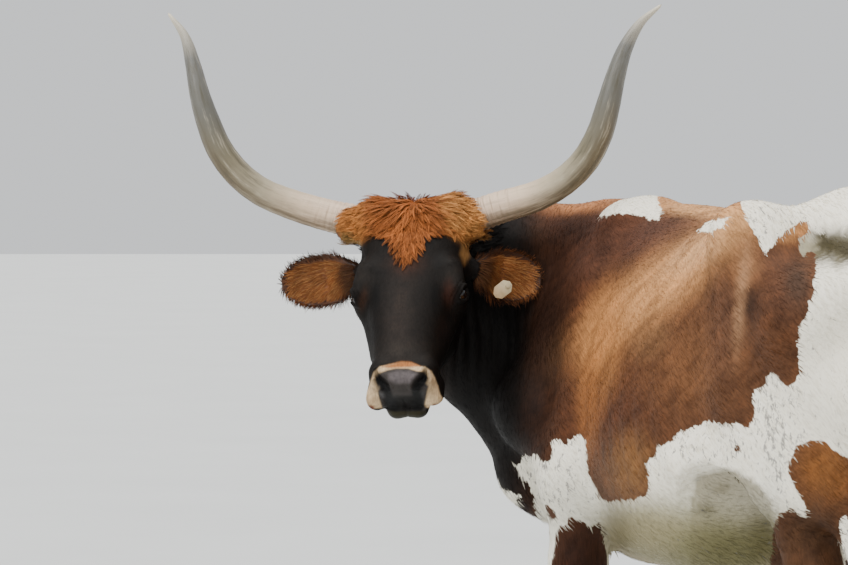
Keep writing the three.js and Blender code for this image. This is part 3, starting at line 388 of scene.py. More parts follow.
noseForms = [
    faceLimb((414, -112, -22), (414, -112, 22), 17, 17, 14, 1),
    lump(facePoint(404, -58, 0), (40, 50, 26), 18, headAxes),
    faceLimb((20, -46, -60), (20, -46, 60), 44, 44, 30, 1),
]
legLines = {
    "front": {
        "lines": [
            [(*elbow, 66), (-412, 166, 600, 57), (-430, 160, 440, 41)],
            [(-434, 160, 415, 43), (-434, 160, 375, 40)],
            [(-432, 160, 350, 30), (-430, 160, 205, 29)],
            [(-428, 160, 168, 37), (-430, 160, 158, 36)],
            [(-434, 160, 150, 34), (-458, 160, 84, 33), (-468, 160, 46, 36)],
        ],
        "dewClaw": [(-398, 142, 138, 13), (-392, 140, 118, 9)],
        "foot": -472,
        "top": 760,
        "step": {"left": 0, "right": -120},
    },
    "hind": {
        "lines": [
            [(*stifle, 72), (486, 183, 735, 56), (504, 177, 668, 52), (632, 161, 522, 39)],
            [(650, 160, 510, 42), (660, 159, 462, 37)],
            [(658, 157, 440, 32), (650, 156, 210, 30)],
            [(650, 156, 170, 38), (648, 156, 160, 37)],
            [(642, 156, 150, 35), (616, 156, 84, 34), (604, 156, 46, 36)],
        ],
        "dewClaw": [(682, 138, 140, 13), (690, 136, 120, 9)],
        "foot": 600,
        "top": 740,
        "step": {"left": 0, "right": -85},
    },
}
legSoftness = 26


# The leg below the body leans to where its foot stands
def leaned(places, top, step, side):
    found = []
    for x, y, z, r in places:
        share = min(max((top - z) / (top - 160), 0), 1)
        found.append((x + step * share, y * side, z, r))
    return found


def legForms(end, name):
    leg, side = legLines[end], bodySides[name]
    step = leg["step"][name]
    forms = []
    for line in leg["lines"]:
        forms += chain(leaned(line, leg["top"], step, side), legSoftness)
    claw = leaned(leg["dewClaw"], leg["top"], step, side)
    otherClaw = [(x, side * 320 - y, z, r) for x, y, z, r in claw]
    forms += chain(claw, 10) + chain(otherClaw, 10)
    if end == "hind":
        cord = [(618, 174, 782, 42), (692, 160, 612, 20), (*hockPoint, 20)]
        heel = [(*hockPoint, 22), (672, 158, 500, 32)]
        forms += chain(leaned(cord, leg["top"], step, side), 26)
        forms += chain(leaned(heel, leg["top"], step, side), 20)
    return forms


tailLine = [
    (tailPlace["x"] - 9, 0, tailPlace["z"] + 12),
    (822, 0, tailPlace["z"] - 56),
    (842, -2, 1110),
    (848, -6, 910),
    (844, -10, 700),
    (840, -12, 560),
    (838, -12, 480),
]
tailGirth = [(0, 33), (0.12, 27), (0.3, 21), (0.6, 16), (1, 10)]


# A curve through places, as the solids' curves run, with even steps
def curveThrough(places, count):
    p = np.asarray(places, float)
    ends = np.vstack([2 * p[0] - p[1], p, 2 * p[-1] - p[-2]])
    dense = []
    for i in range(1, len(ends) - 2):
        p0, p1, p2, p3 = ends[i - 1:i + 3]
        d0, d1, d2 = (max(np.linalg.norm(b - a) ** 0.5, 1e-6) for a, b in ((p0, p1), (p1, p2), (p2, p3)))
        t1 = ((p1 - p0) / d0 - (p2 - p0) / (d0 + d1) + (p2 - p1) / d1) * d1
        t2 = ((p2 - p1) / d1 - (p3 - p1) / (d1 + d2) + (p3 - p2) / d2) * d1
        t = np.linspace(0, 1, 60, endpoint=i == len(ends) - 3)[:, None]
        c2, c3 = -3 * p1 + 3 * p2 - 2 * t1 - t2, 2 * p1 - 2 * p2 + t1 + t2
        dense.append(p1 + t1 * t + c2 * t * t + c3 * t * t * t)
    dense = np.vstack(dense)
    lengths = np.concatenate([[0], np.cumsum(np.linalg.norm(np.diff(dense, axis=0), axis=1))])
    wanted = np.linspace(0, lengths[-1], count)
    return np.column_stack([np.interp(wanted, lengths, dense[:, k]) for k in range(3)])


teat = {"rows": (442, 512), "line": [(38, 698, 13), (41, 655, 11), (43, 626, 8)]}


def teatForms():
    forms = []
    for x in teat["rows"]:
        for side in bodySides.values():
            forms += chain([(x, out * side, height, radius) for out, height, radius in teat["line"]], 8)
    return forms


def tailForms():
    line = curveThrough(tailLine, 16)
    girth = between(tailGirth, np.linspace(0, 1, 16))[:, 0]
    return chain([(*p, r) for p, r in zip(line, girth)], 12)


def fleshForms():
    forms = [trunkForm]
    for side in bodySides.values():
        forms += bonesAndMuscles(side)
    forms += underside() + chain(tailHeadLine, 36)
    for line, soft in neckLines:
        forms += chain(line, soft)
    forms.append(skullForm)
    for side in bodySides.values():
        forms += faceForms(side)
    forms += noseForms
    for end in legLines:
        for name in bodySides:
            forms += legForms(end, name)
    return forms + teatForms() + tailForms()


forms = fleshForms()


def flesh(p):
    d = np.full(len(p), 1e6)
    for form in forms:
        least = np.linalg.norm(p - form["centre"], axis=1) - form["reach"] - form["softness"]
        near = np.nonzero(least < d)[0]
        if len(near):
            d[near] = blend(d[near], form["measure"](p[near]), form["softness"])
    return d


def slopeOf(field, p, value, step=1.0):
    ways = [field(p + step * np.eye(3)[k]) - value for k in range(3)]
    return np.column_stack(ways) / step


# Moves points onto a field's surface
def settle(field, points, reach, rounds=3):
    p = points.copy()
    for _ in range(rounds):
        value = field(p)
        slope = slopeOf(field, p, value)
        steep = np.maximum(np.linalg.norm(slope, axis=1), 0.2)
        move = np.clip(value / steep, -reach, reach)
        p -= slope * (move / steep)[:, None]
    return p


# Meshes in and out of numpy, in the cow's frame
def readAll(items, field, width, kind=float):
    found = np.empty(len(items) * width, kind)
    items.foreach_get(field, found)
    return found.reshape(-1, width)


def placesOf(piece):
    return fromFrame(readAll(piece.data.vertices, "co", 3))


def setPlaces(piece, points):
    piece.data.vertices.foreach_set("co", toFrame(points).ravel())
    piece.data.update()


def evened(points, edges, share):
    count = np.bincount(edges.ravel(), minlength=len(points))
    total = np.zeros_like(points)
    for k in range(3):
        total[:, k] = np.bincount(edges[:, 0], points[edges[:, 1], k], len(points))
        total[:, k] += np.bincount(edges[:, 1], points[edges[:, 0], k], len(points))
    return mix(points, total / np.maximum(count, 1)[:, None], share)


def selectOnly(piece):
    bpy.ops.object.select_all(action="DESELECT")
    piece.select_set(True)
    bpy.context.view_layer.objects.active = piece


# One modelling step on the whole of the piece that was selected
def editAll(step, **settings):
    bpy.ops.object.mode_set(mode="EDIT")
    bpy.ops.mesh.select_all(action="SELECT")
    step(**settings)
    bpy.ops.object.mode_set(mode="OBJECT")


def pieceFrom(mesh):
    piece = bpy.data.objects.new(mesh.name, mesh)
    bpy.context.collection.objects.link(piece)
    return piece


def addAttribute(piece, name, values):
    values = np.asarray(values, np.float32)
    kind, field = ("FLOAT", "value") if values.ndim == 1 else ("FLOAT_VECTOR", "vector")
    piece.data.attributes.new(name, kind, "POINT").data.foreach_set(field, values.ravel())


# A tube through rings of points, closed at both ends
def tubeFaces(rings, around):
    faces = []
    for r in range(rings - 1):
        for n in range(around):
            m = (n + 1) % around
            faces.append((r * around + n, r * around + m, (r + 1) * around + m, (r + 1) * around + n))
    first, last = rings * around, rings * around + 1
    for n in range(around):
        m = (n + 1) % around
        faces.append((first, m, n))
        faces.append((last, (rings - 1) * around + n, (rings - 1) * around + m))
    return faces


def tube(name, rings, ends):
    points = np.vstack([*rings, *[np.atleast_2d(end) for end in ends]])
    mesh = bpy.data.meshes.new(name)
    mesh.from_pydata(toFrame(points).tolist(), [], tubeFaces(len(rings), len(rings[0])))
    piece = pieceFrom(mesh)
    selectOnly(piece)
    editAll(bpy.ops.mesh.normals_make_consistent, inside=False)
    return piece


def smooth(piece):
    selectOnly(piece)
    bpy.ops.object.shade_smooth()


# Rings round a line, each kept level with one sideways direction
def ringsRound(line, radii, sideways, around, flat=1.0):
    ahead = unit(np.gradient(line, axis=0))
    wide = unit(np.cross(sideways, ahead))
    tall = unit(np.cross(ahead, wide))
    angle = np.linspace(0, 2 * math.pi, around, endpoint=False)
    wideShare, tallShare = np.cos(angle)[None, :, None], flat * np.sin(angle)[None, :, None]
    ring = wideShare * wide[:, None] + tallShare * tall[:, None]
    return line[:, None] + ring * np.asarray(radii)[:, None, None]


# Skin: the flesh of the solids as one surface, a coat's depth further in, with its folds
skinPlan = {
    "voxel": 0.0105,
    "grow": 1.2,
    "growRoundEyes": 4,
    "coatDepth": 2.2,
    "faceDepth": 1.8,
    "legDepth": 1.2,
    "bareDepth": 0.4,
    "relaxRounds": 3,
}
fleshNodes = ["torso", "neck", "head", "udder"]
fleshNodes += [f"{end}_leg_{name}" for end in legLines for name in bodySides]
coronet = {"x": -10, "z": 58, "way": (0.3, 0, 0.95)}
lid = {"half": 19, "upper": 11.5, "lower": 9, "deep": 9, "rim": 1.6, "crease": 1.6}
# Creases round the eye: depth, distance from the lids and width; above (1) or below (-1), and where
# each fades in
lidCreases = [
    (1, 8.5, 1.6, 1, -6, 4),
    (0.9, 14, 1.8, 1, 0, 8),
    (0.8, 7.5, 1.5, -1, 0, 6),
    (0.7, 12.5, 1.7, -1, 2, 8),
]
# The nostril's middle line down, out and across the face, with its half width
nostrilLine = [
    (392, -18, 50, 3),
    (401, -21, 47, 7),
    (411, -24, 40, 9),
    (419, -29, 32, 8),
    (425, -37, 25, 4),
]
nostril = {"deep": 20, "edge": 5, "rim": 1.8, "steps": 20}
mouth = {"level": -97, "deep": 6, "thick": 1.9}


def bell(x, middle, spread):
    return np.exp(-(((x - middle) / spread) ** 2))


def eased(x, low, high):
    t = np.clip((x - low) / (high - low), 0, 1)
    return t * t * (3 - 2 * t)


# The eye's own axes: towards the nose, towards the upper lid, and out
def eyeAxes(side):
    ahead = faceWay(0.05, 0.62, 0.8 * side)
    wide = faceWay(0.86, 0.3, -0.2 * side)
    wide = unit(wide - ahead * (wide @ ahead))
    return np.column_stack([wide, -side * np.cross(ahead, wide), ahead])


# How far a place lies outside the almond between the lids
def almondDistance(wide, tall):
    found = []
    for rise, sign in ((lid["upper"], 1), (lid["lower"], -1)):
        radius = (lid["half"] ** 2 + rise**2) / (2 * rise)
        found.append(np.hypot(wide, tall - sign * (rise - radius)) - radius)
    return np.maximum(*found)


def shapeLids(p, d):
    for side in headSides.values():
        near = np.nonzero(np.linalg.norm(p - eyeAt(side), axis=1) < 52)[0]
        if not len(near):
            continue
        wide, tall, ahead = ((p[near] - eyeAt(side)) @ eyeAxes(side)).T
        almond = almondDistance(wide, tall)
        front = eased(ahead, 0, 10)
        folds = -lid["rim"] * bell(almond, 2.6, 2.6)
        for share, far, thick, way, low, high in lidCreases:
            folds += share * lid["crease"] * bell(almond, far, thick) * eased(way * tall, low, high)
        opening = lid["deep"] * (1 - eased(almond, -2.5, 0.8))
        d[near] += folds * front + opening * front
    return d


def nostrilCurves():
    found = []
    halves = [row[3] for row in nostrilLine]
    steps = np.linspace(0, 1, nostril["steps"])
    wide = np.interp(steps, np.linspace(0, 1, len(halves)), halves)
    for side in headSides.values():
        places = [settle(flesh, onFace(row[:3], side)[None], 30)[0] for row in nostrilLine]
        line = curveThrough(places, nostril["steps"])
        found.append((line, wide, faceWay(0.12, -0.97, -0.12 * side)))
    return found


# How far a place lies outside a nostril's rim, seen along the way into it
def nostrilDistance(p):
    best = np.full(len(p), 1e3)
    for line, wide, inward in nostrilLines:
        for place, half in zip(line, wide):
            away = p - place
            away = away - (away @ inward)[:, None] * inward
            best = np.minimum(best, np.linalg.norm(away, axis=1) - half)
    return best


# The middle of the lower lip, and the fuller lip of the right side
lipForms = [
    limb(facePoint(427, -111, -14), facePoint(427, -111, 14), 15, 15, 9),
    lump(facePoint(413, -88, -62), (20, 17, 22), 14, headAxes),
]


def shapeMuzzle(p, d):
    out, across, up = ((p - poll) @ headAxes).T
    for form in lipForms:
        close = np.nonzero(np.linalg.norm(p - form["centre"], axis=1) < form["reach"] + 50)[0]
        if len(close):
            lip = form["measure"](p[close]) + skinPlan["bareDepth"]
            d[close] = blend(d[close], lip, form["softness"])
    near = np.nonzero((up < -340) & (np.abs(across) < 100) & (d < 25) & (d > -30))[0]
    if not len(near):
        return d
    o, a, down = out[near], across[near], -up[near]
    hole = nostrilDistance(p[near]) + 25 * eased(-o, 34, 50)
    value = d[near] + nostril["deep"] * (1 - eased(hole, -nostril["edge"], 1.5))
    value -= nostril["rim"] * bell(hole, 4.5, 2.8)
    # The groove down the middle of the nose pad, and the mouth
    value += 1.6 * bell(a, 0, 2.4) * eased(-o, 50, 80) * eased(down, 396, 408)
    value += mouth["deep"] * bell(o, mouth["level"], mouth["thick"]) * eased(down, 372, 392)
    d[near] = value
    return d


# The leg's skin ends in a slanting plane on top of the hoof
def cutFeet(p, d):
    way = unit(coronet["way"])
    low = np.nonzero(p[:, 2] < 200)[0]
    if not len(low):
        return d
    q = p[low]
    for leg in legLines.values():
        for name, side in bodySides.items():
            foot = leg["foot"] + leg["step"][name]
            here = (np.sign(q[:, 1]) == side) & (np.abs(q[:, 0] - foot) < 200)
            past = (np.array([foot + coronet["x"], 0, coronet["z"]]) - q) @ way
            d[low[here]] = np.maximum(d[low[here]], past[here])
    return d


# Loose skin: folds across the bent neck, faint ribs, and the fold from the thigh to the belly
neckFold = {
    "centre": (-500, -420),
    "radius": 300,
    "reach": 420,
    "spacing": 27,
    "deep": 2.4,
    "behindFace": (150, 230),
    "before": (500, 560),
    "above": (900, 1040),
    "below": (-1300, -1240),
    "fade": (0, 60),
}
rib = {
    "spacing": 74,
    "deep": 2.6,
    "slant": 0.35,
    "behind": (-260, -120),
    "before": (-300, -180),
    "above": (760, 880),
    "below": (-1230, -1080),
}
flank = {"deep": 17, "thick": 15, "lip": 8}
flankCrease = [(452, -224, 742), (440, -226, 783), (404, -240, 812), (359, -252, 829), (296, -268, 838),
               (250, -276, 826), (222, -278, 806), (205, -272, 774), (203, -262, 748)]


def distanceToLine(p, line):
    best = np.full(len(p), 1e3)
    height = np.zeros(len(p))
    for a, b in zip(line, line[1:]):
        axis = b - a
        t = np.clip((p - a) @ axis / (axis @ axis), 0, 1)
        nearest = a + t[:, None] * axis
        gap = np.linalg.norm(p - nearest, axis=1)
        closer = gap < best
        best[closer] = gap[closer]
        height[closer] = (p - nearest)[closer, 2]
    return best, height


def shapeLooseSkin(p, d):
    x, y, z = p.T
    folds = np.zeros(len(p))
    bend = neckFold["centre"]
    turn = np.arctan2(y - bend[1], x - bend[0])
    inner = np.hypot(x - bend[0], y - bend[1])
    wander = 0.9 * np.sin(z / 70) + 0.5 * np.sin(z / 23)
    wave = np.sin(turn * neckFold["radius"] / neckFold["spacing"] * 2 * math.pi + wander)
    out = ((p - poll) @ headAxes)[:, 0]
    onNeck = eased(-out, *neckFold["behindFace"]) * eased(-x, *neckFold["before"])
    onNeck = onNeck * eased(z, *neckFold["above"]) * eased(-z, *neckFold["below"])
    onNeck = onNeck * eased(neckFold["reach"] - inner, *neckFold["fade"])
    folds += neckFold["deep"] * onNeck * (0.5 - 0.5 * wave) ** 2
    along = x + rib["slant"] * (z - 900)
    onRibs = eased(x, *rib["behind"]) * eased(-x, *rib["before"])
    onRibs = onRibs * eased(z, *rib["above"]) * eased(-z, *rib["below"])
    folds += rib["deep"] * onRibs * (0.5 - 0.5 * np.cos(along / rib["spacing"] * 2 * math.pi)) ** 2
    near = np.nonzero((x > 120) & (x < 520) & (z > 660) & (z < 900) & (np.abs(y) > 120))[0]
    if len(near):
        q = p[near] * (1, -1, 1)
        q[:, 1] = -np.abs(q[:, 1])
        gap, height = distanceToLine(q, flankCurve)
        crease = flank["deep"] * bell(gap, 0, flank["thick"]) * eased(-height, -15, 3)
        folds[near] += crease - flank["lip"] * bell(gap, 20, 12) * eased(height, -3, 9)
    return d + folds


flankCurve = curveThrough(flankCrease, 24)
nostrilLines = nostrilCurves()


# Hair lies thin on the face and feet, and the muzzle is bare
def coatDepth(p):
    out, across, up = ((p - poll) @ headAxes).T
    near = (np.abs(across) < 150) & (out > -260) & (out < 90) & (up < 70) & (up > -480)
    depth = np.full(len(p), skinPlan["coatDepth"])
    depth[near] = mix(skinPlan["faceDepth"], skinPlan["bareDepth"], eased(-up[near], 340, 380))
    low = p[:, 2] < 700
    depth[low] = mix(skinPlan["legDepth"], depth[low], eased(p[low, 2], 400, 700))
    return depth


def skinField(p):
    d = cutFeet(p, flesh(p)) + coatDepth(p)
    return shapeMuzzle(p, shapeLids(p, shapeLooseSkin(p, d)))


def gatherFlesh():
    gathered = bmesh.new()
    for name in fleshNodes + ["eye_left", "eye_right"]:
        part = bmesh.new()
        part.from_mesh(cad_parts[name].data)
        bmesh.ops.remove_doubles(part, verts=part.verts, dist=1e-5)
        part.normal_update()
        grow = skinPlan["growRoundEyes" if name.startswith("eye") else "grow"]
        for vertex in part.verts:
            vertex.co += vertex.normal * grow / metre
        loose = bpy.data.meshes.new(name)
        part.to_mesh(loose)
        gathered.from_mesh(loose)
        part.free()
        bpy.data.meshes.remove(loose)
    mesh = bpy.data.meshes.new("cowSkin")
    gathered.to_mesh(mesh)
    gathered.free()
    return pieceFrom(mesh)


def addTailCore(piece):
    line = curveThrough(tailLine, 30)
    line[0] += (-30, 0, 20)
    girth = between(tailGirth, np.linspace(0, 1, 30))[:, 0] + 3
    core = tube("tailCore", list(ringsRound(line, girth, (0, 1, 0), 16)), [line[0], line[-1]])
    selectOnly(piece)
    core.select_set(True)
    bpy.ops.object.join()


def relaxed(piece, rounds, reach, chosen=None, share=0.5):
    points, edges = placesOf(piece), readAll(piece.data.edges, "vertices", 2, int)
    moving = np.ones(len(points), bool) if chosen is None else chosen(points)
    for _ in range(rounds):
        even = evened(points, edges, share)[moving]
        points[moving] = settle(skinField, even, reach, 1)
    points[moving] = settle(skinField, points[moving], reach, 2)
    setPlaces(piece, points)


def refine(piece, chosen):
    mesh = bmesh.new()
    mesh.from_mesh(piece.data)
    inside = chosen(placesOf(piece))
    mesh.verts.ensure_lookup_table()
    edges = [e for e in mesh.edges if inside[e.verts[0].index] and inside[e.verts[1].index]]
    bmesh.ops.subdivide_edges(mesh, edges=edges, cuts=1, use_grid_fill=True)
    mesh.to_mesh(piece.data)
    mesh.free()


def nearFace(points, low, high):
    q = (points - poll) @ headAxes
    return np.all((q > low) & (q < high), axis=1)


# Where the skin gets finer faces: boxes out, across and up from the poll, and rounds about the eyes
headBox = ((-220, -150, -470), (60, 150, 40))
muzzleBox = ((-160, -95, -470), (20, 95, -362))
frontBox = ((-165, -120, -470), (60, 120, -140))
roundEye = 42


def headZone(p):
    return nearFace(p, *headBox)


def neckZone(p):
    bend = neckFold["centre"]
    inner = np.hypot(p[:, 0] - bend[0], p[:, 1] - bend[1]) < neckFold["reach"] + 10
    return inner & (p[:, 0] < -480) & (p[:, 2] > 900) & (p[:, 2] < 1300) & (p[:, 1] < 0)


def fineZone(p):
    found = nearFace(p, *muzzleBox)
    for side in headSides.values():
        found |= np.linalg.norm(p - eyeAt(side), axis=1) < roundEye
    return found & nearFace(p, *frontBox)


def makeSkin():
    piece = gatherFlesh()
    addTailCore(piece)
    selectOnly(piece)
    piece.data.remesh_voxel_size = skinPlan["voxel"]
    bpy.ops.object.voxel_remesh()
    relaxed(piece, skinPlan["relaxRounds"], 12)
    print("Skin remeshed,", len(piece.data.vertices), "points")
    refine(piece, lambda p: headZone(p) | neckZone(p))
    relaxed(piece, 2, 6, lambda p: headZone(p) | neckZone(p))
    refine(piece, fineZone)
    relaxed(piece, 3, 3, fineZone, 0.35)
    selectOnly(piece)
    editAll(bpy.ops.mesh.quads_convert_to_tris)
    smooth(piece)
    print("Skin settled,", len(piece.data.polygons), "faces")
    return piece


skin = makeSkin()


# Horns
horn = {
    "baseRadius": 32.5,
    "around": 48,
    "along": 220,
    "tip": 7,
    "ringHeight": 1.1,
    "ringSpacing": 11,
    "ringReach": 95,
}
# Each row is one place on the way: ahead, then out and up for the left and the right horn
hornWay = [
    (-50, (96, -44), (96, -42)),
    (-49, (168, -22), (184, -20)),
    (-38, (254, 0), (264, 9)),
    (-23, (311, 27), (316, 36)),
    (-6, (359, 67), (358, 75)),
    (11, (393, 118), (389, 125)),
    (21, (415, 175), (408, 182)),
    (22, (433, 232), (423, 240)),
    (15, (454, 287), (435, 300)),
    (4, (486, 337), (452, 359)),
    (-12, (524, 369), (485, 405)),
]
hornGirth = [(0, 1.06), (0.16, 1), (0.36, 0.9), (0.5, 0.86), (0.62, 0.78), (0.73, 0.63), (0.84, 0.45),
             (0.93, 0.26), (1, 0.1)]


def makeHorn(name):
    side = headSides[name]
    places = []
    for ahead, left, right in hornWay:
        out, up = left if name == "left" else right
        places.append(levelPoint(ahead, side * out, up))
    line = curveThrough(places, horn["along"])
    steps = np.linalg.norm(np.diff(line, axis=0), axis=1)
    far = np.concatenate([[0], np.cumsum(steps)])
    t = far / far[-1]
    radii = horn["baseRadius"] * between(hornGirth, t)[:, 0]
    collar = far[np.argmin(np.abs(t - 0.06))]
    fade = np.clip(1 - (far - collar) / horn["ringReach"], 0, 1)
    ripple = np.sin(far * 2 * math.pi / horn["ringSpacing"] + 1.7 * np.sin(far / 23))
    radii = radii + horn["ringHeight"] * ripple * fade**1.5
    radii = radii + 0.25 * np.sin(far / 5.1) * (1 - fade) * (1 - t)
    rings = ringsRound(line, radii, levelAxes[:, 0], horn["around"], 0.96)
    ahead = unit(line[-1] - line[-2])
    piece = tube("horn" + name.title(), list(rings), [line[0], line[-1] + horn["tip"] * ahead])
    angle = np.linspace(0, 2 * math.pi, horn["around"], endpoint=False)
    straight = np.stack([
        np.cos(angle)[None] * radii[:, None],
        np.sin(angle)[None] * radii[:, None],
        np.repeat(far[:, None], horn["around"], 1),
    ], axis=2).reshape(-1, 3)
    addAttribute(piece, "straight", np.vstack([straight, [[0, 0, 0], [0, 0, far[-1]]]]) / metre)
    addAttribute(piece, "along", np.concatenate([np.repeat(t, horn["around"]), [0, 1]]))
    smooth(piece)
    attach(piece, "root")
    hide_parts("horn_" + name)
    return piece


horns = {name: makeHorn(name) for name in bodySides}
print("Horns made")

# Ears: a stalk that opens into a cupped leaf
ear = {
    "length": {"left": 154, "right": 172},
    "half": 50,
    "stalkDeep": 22,
    "leafDeep": 30,
    "rootWall": 6.5,
    "tipWall": 2.8,
    "bow": 10,
    "droop": 8,
    "ridge": 1.6,
    "stations": 56,
    "across": 26,
}
# Ahead, out and up: the way that each ear points, and the way that its opening looks
earPose = {
    "left": ((-0.72, 1.13, -0.24), (0.86, 0.5, 0.06)),
    "right": ((-0.12, 1, -0.07), (0.97, 0.02, 0.06)),
}
# Half width along the ear, as a share of the widest
earOutline = [
    (0, 0.5), (0.12, 0.66), (0.3, 0.92), (0.5, 1), (0.7, 0.93), (0.86, 0.7), (0.96, 0.38), (1, 0.16),
]


def levelWay(ahead, out, up, side):
    return levelAxes @ np.array([ahead, out * side, up], float)


def earBasis(name):
    side = headSides[name]
    outWay, faceWayOut = earPose[name]
    out = unit(levelWay(*outWay, side))
    face = levelWay(*faceWayOut, side)
    face = unit(face - out * (face @ out))
    root = onFace((earRoot[0] + 2, earRoot[1] - 8, 118), side)
    return out, face, np.cross(out, face), root


def makeEar(name):
    out, face, edge, root = earBasis(name)
    rings, place = [], []
    count = ear["across"]
    for t in np.linspace(0, 1, ear["stations"]):
        opened = min(max((t - 0.1) / 0.35, 0), 1) ** 0.8
        half = ear["half"] * between(earOutline, t)[0]
        deep = mix(ear["stalkDeep"], ear["leafDeep"], opened)
        deep *= min(1, half / ear["half"] * 1.3) * (1 - 0.6 * t * t)
        wall = min(mix(ear["rootWall"], ear["tipWall"], t), deep)
        hollow = mix(-deep * 0.7, deep - wall, opened)
        rise = -ear["bow"] * math.sin(t * math.pi) - ear["droop"] * t * t
        centre = root + out * t * ear["length"][name] + face * rise
        a = np.concatenate([np.linspace(-1, 1, count), np.linspace(1, -1, count)[1:-1]])
        a = np.sin(a * math.pi / 2)
        back = np.arange(len(a)) < count
        dome = np.sqrt(np.maximum(1 - a * a, 0))
        fold = ear["ridge"] * opened * np.sin(a * 9) * dome * (1 - t)
        depth = np.where(back, -deep * dome - 1.2, -hollow * dome + 1.2 + fold)
        rings.append(centre + edge * (a * half)[:, None] + face * depth[:, None])
        place.append(np.column_stack([a, np.full(len(a), t), np.where(back, -1.0, 1.0)]))
    piece = tube("ear" + name.title(), rings, [rings[0].mean(0), rings[-1].mean(0)])
    addAttribute(piece, "leaf", np.vstack([*place, [[0, 0, -1], [0, 1, -1]]]))
    smooth(piece)
    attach(piece, "root")
    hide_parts("ear_" + name)
    return piece


ears = {name: makeEar(name) for name in bodySides}
print("Ears made")

# Eyes: a dark wet ball with the clear front standing slightly proud
eyeball = {
    "front": 1.3,
    "spread": 0.5,
    "pupil": (0.0042, 0.0055),
    "iris": (0.0115, 0.014),
    "rim": (0.0145, 0.0165),
    "pupilShape": (0.55, 1.15),
}


def makeEye(name):
    side = headSides[name]
    bpy.ops.mesh.primitive_uv_sphere_add(segments=64, ring_count=40, radius=eye["radius"] / metre)
    piece = bpy.context.object
    piece.name = "eye" + name.title()
    points = readAll(piece.data.vertices, "co", 3) * metre
    facing = points[:, 2] / eye["radius"]
    ahead = np.clip((facing - eyeball["spread"]) / (1 - eyeball["spread"]), 0, 1)
    bulge = eyeball["front"] * ahead**0.7
    points = points * (1 + bulge / eye["radius"])[:, None]
    addAttribute(piece, "gaze", points / metre)
    axes = eyeAxes(side)
    axes[:, 1] = np.cross(axes[:, 2], axes[:, 0])
    setPlaces(piece, eyeAt(side) + points @ axes.T)
    smooth(piece)
    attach(piece, "root")
    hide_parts("eye_" + name)
    return piece


eyes = {name: makeEye(name) for name in bodySides}
print("Eyes made")

# Hooves: two claws on each foot, with the wall's growth rings
claw = {
    "length": 108,
    "rise": 72,
    "toe": 0.78,
    "heel": 0.12,
    "spread": 159,
    "apart": 25,
    "soleHalf": 23.5,
    "topHalf": 18.5,
    "innerShare": 0.72,
    "narrowing": 0.34,
    "toeShare": 1.06,
    "heelShare": 0.92,
    "ripple": 0.5,
    "ripples": 34,
    "soleShare": 0.985,
    "rings": 26,
    "around": 44,
}


def makeClaw(end, name, which):
    side = bodySides[name]
    inward = -side if which == "outer" else side
    leg = legLines[end]
    foot = np.array([leg["foot"] + leg["step"][name], side * claw["spread"] - inward * claw["apart"], 0])
    angle = np.linspace(0, 2 * math.pi, claw["around"], endpoint=False)
    ahead, across = -np.cos(angle), np.sin(angle)
    toward = np.where(across * inward > 0, claw["innerShare"], 1)
    narrow = 1 - claw["narrowing"] * np.maximum(ahead, 0) ** 2
    reach = np.where(ahead > 0, claw["toeShare"], claw["heelShare"])
    way = unit(coronet["way"])
    rings = []
    for share in np.linspace(0, 1, claw["rings"]):
        ripple = claw["ripple"] * math.sin(share * claw["ripples"]) * min(share * 6, 1)
        height = claw["rise"] * share
        halfWide = (claw["length"] - height * (claw["toe"] - claw["heel"])) / 2 + ripple
        halfTall = mix(claw["soleHalf"], claw["topHalf"], share * share) + ripple * 0.6
        x = -ahead * reach * halfWide
        x += height * (claw["toe"] + claw["heel"]) / 2
        ring = np.column_stack([x, across * toward * narrow * halfTall, np.full(len(x), height)])
        past = np.maximum((ring - (coronet["x"], 0, coronet["z"])) @ way, 0)
        ring[:, 2] -= past / way[2]
        if share == 0:
            ring[:, :2] *= claw["soleShare"]
        rings.append(ring + foot)
    piece = tube(f"{end}Hoof{name.title()}{which.title()}", rings, [rings[0].mean(0), rings[-1].mean(0)])
    smooth(piece)
    bpy.ops.object.shade_smooth_by_angle(angle=math.radians(40))
    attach(piece, "root")
    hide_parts(f"{end}_hoof_{name}_{which}")
    return piece


hooves = []
for end in legLines:
    for name in bodySides:
        hooves += [makeClaw(end, name, which) for which in ("outer", "inner")]
print("Hooves made")

# The blank tag in the left ear, with its stud
tag = {
    "width": 29,
    "height": 45,
    "thick": 2.4,
    "corner": 10,
    "edge": 0.5,
    "bend": 1.2,
    "along": 0.42,
    "drop": 31,
    "proud": 4,
    "tilt": 42,
}
stud = {"radius": 5.5, "thick": 3, "edge": 0.8, "fromTop": 9}


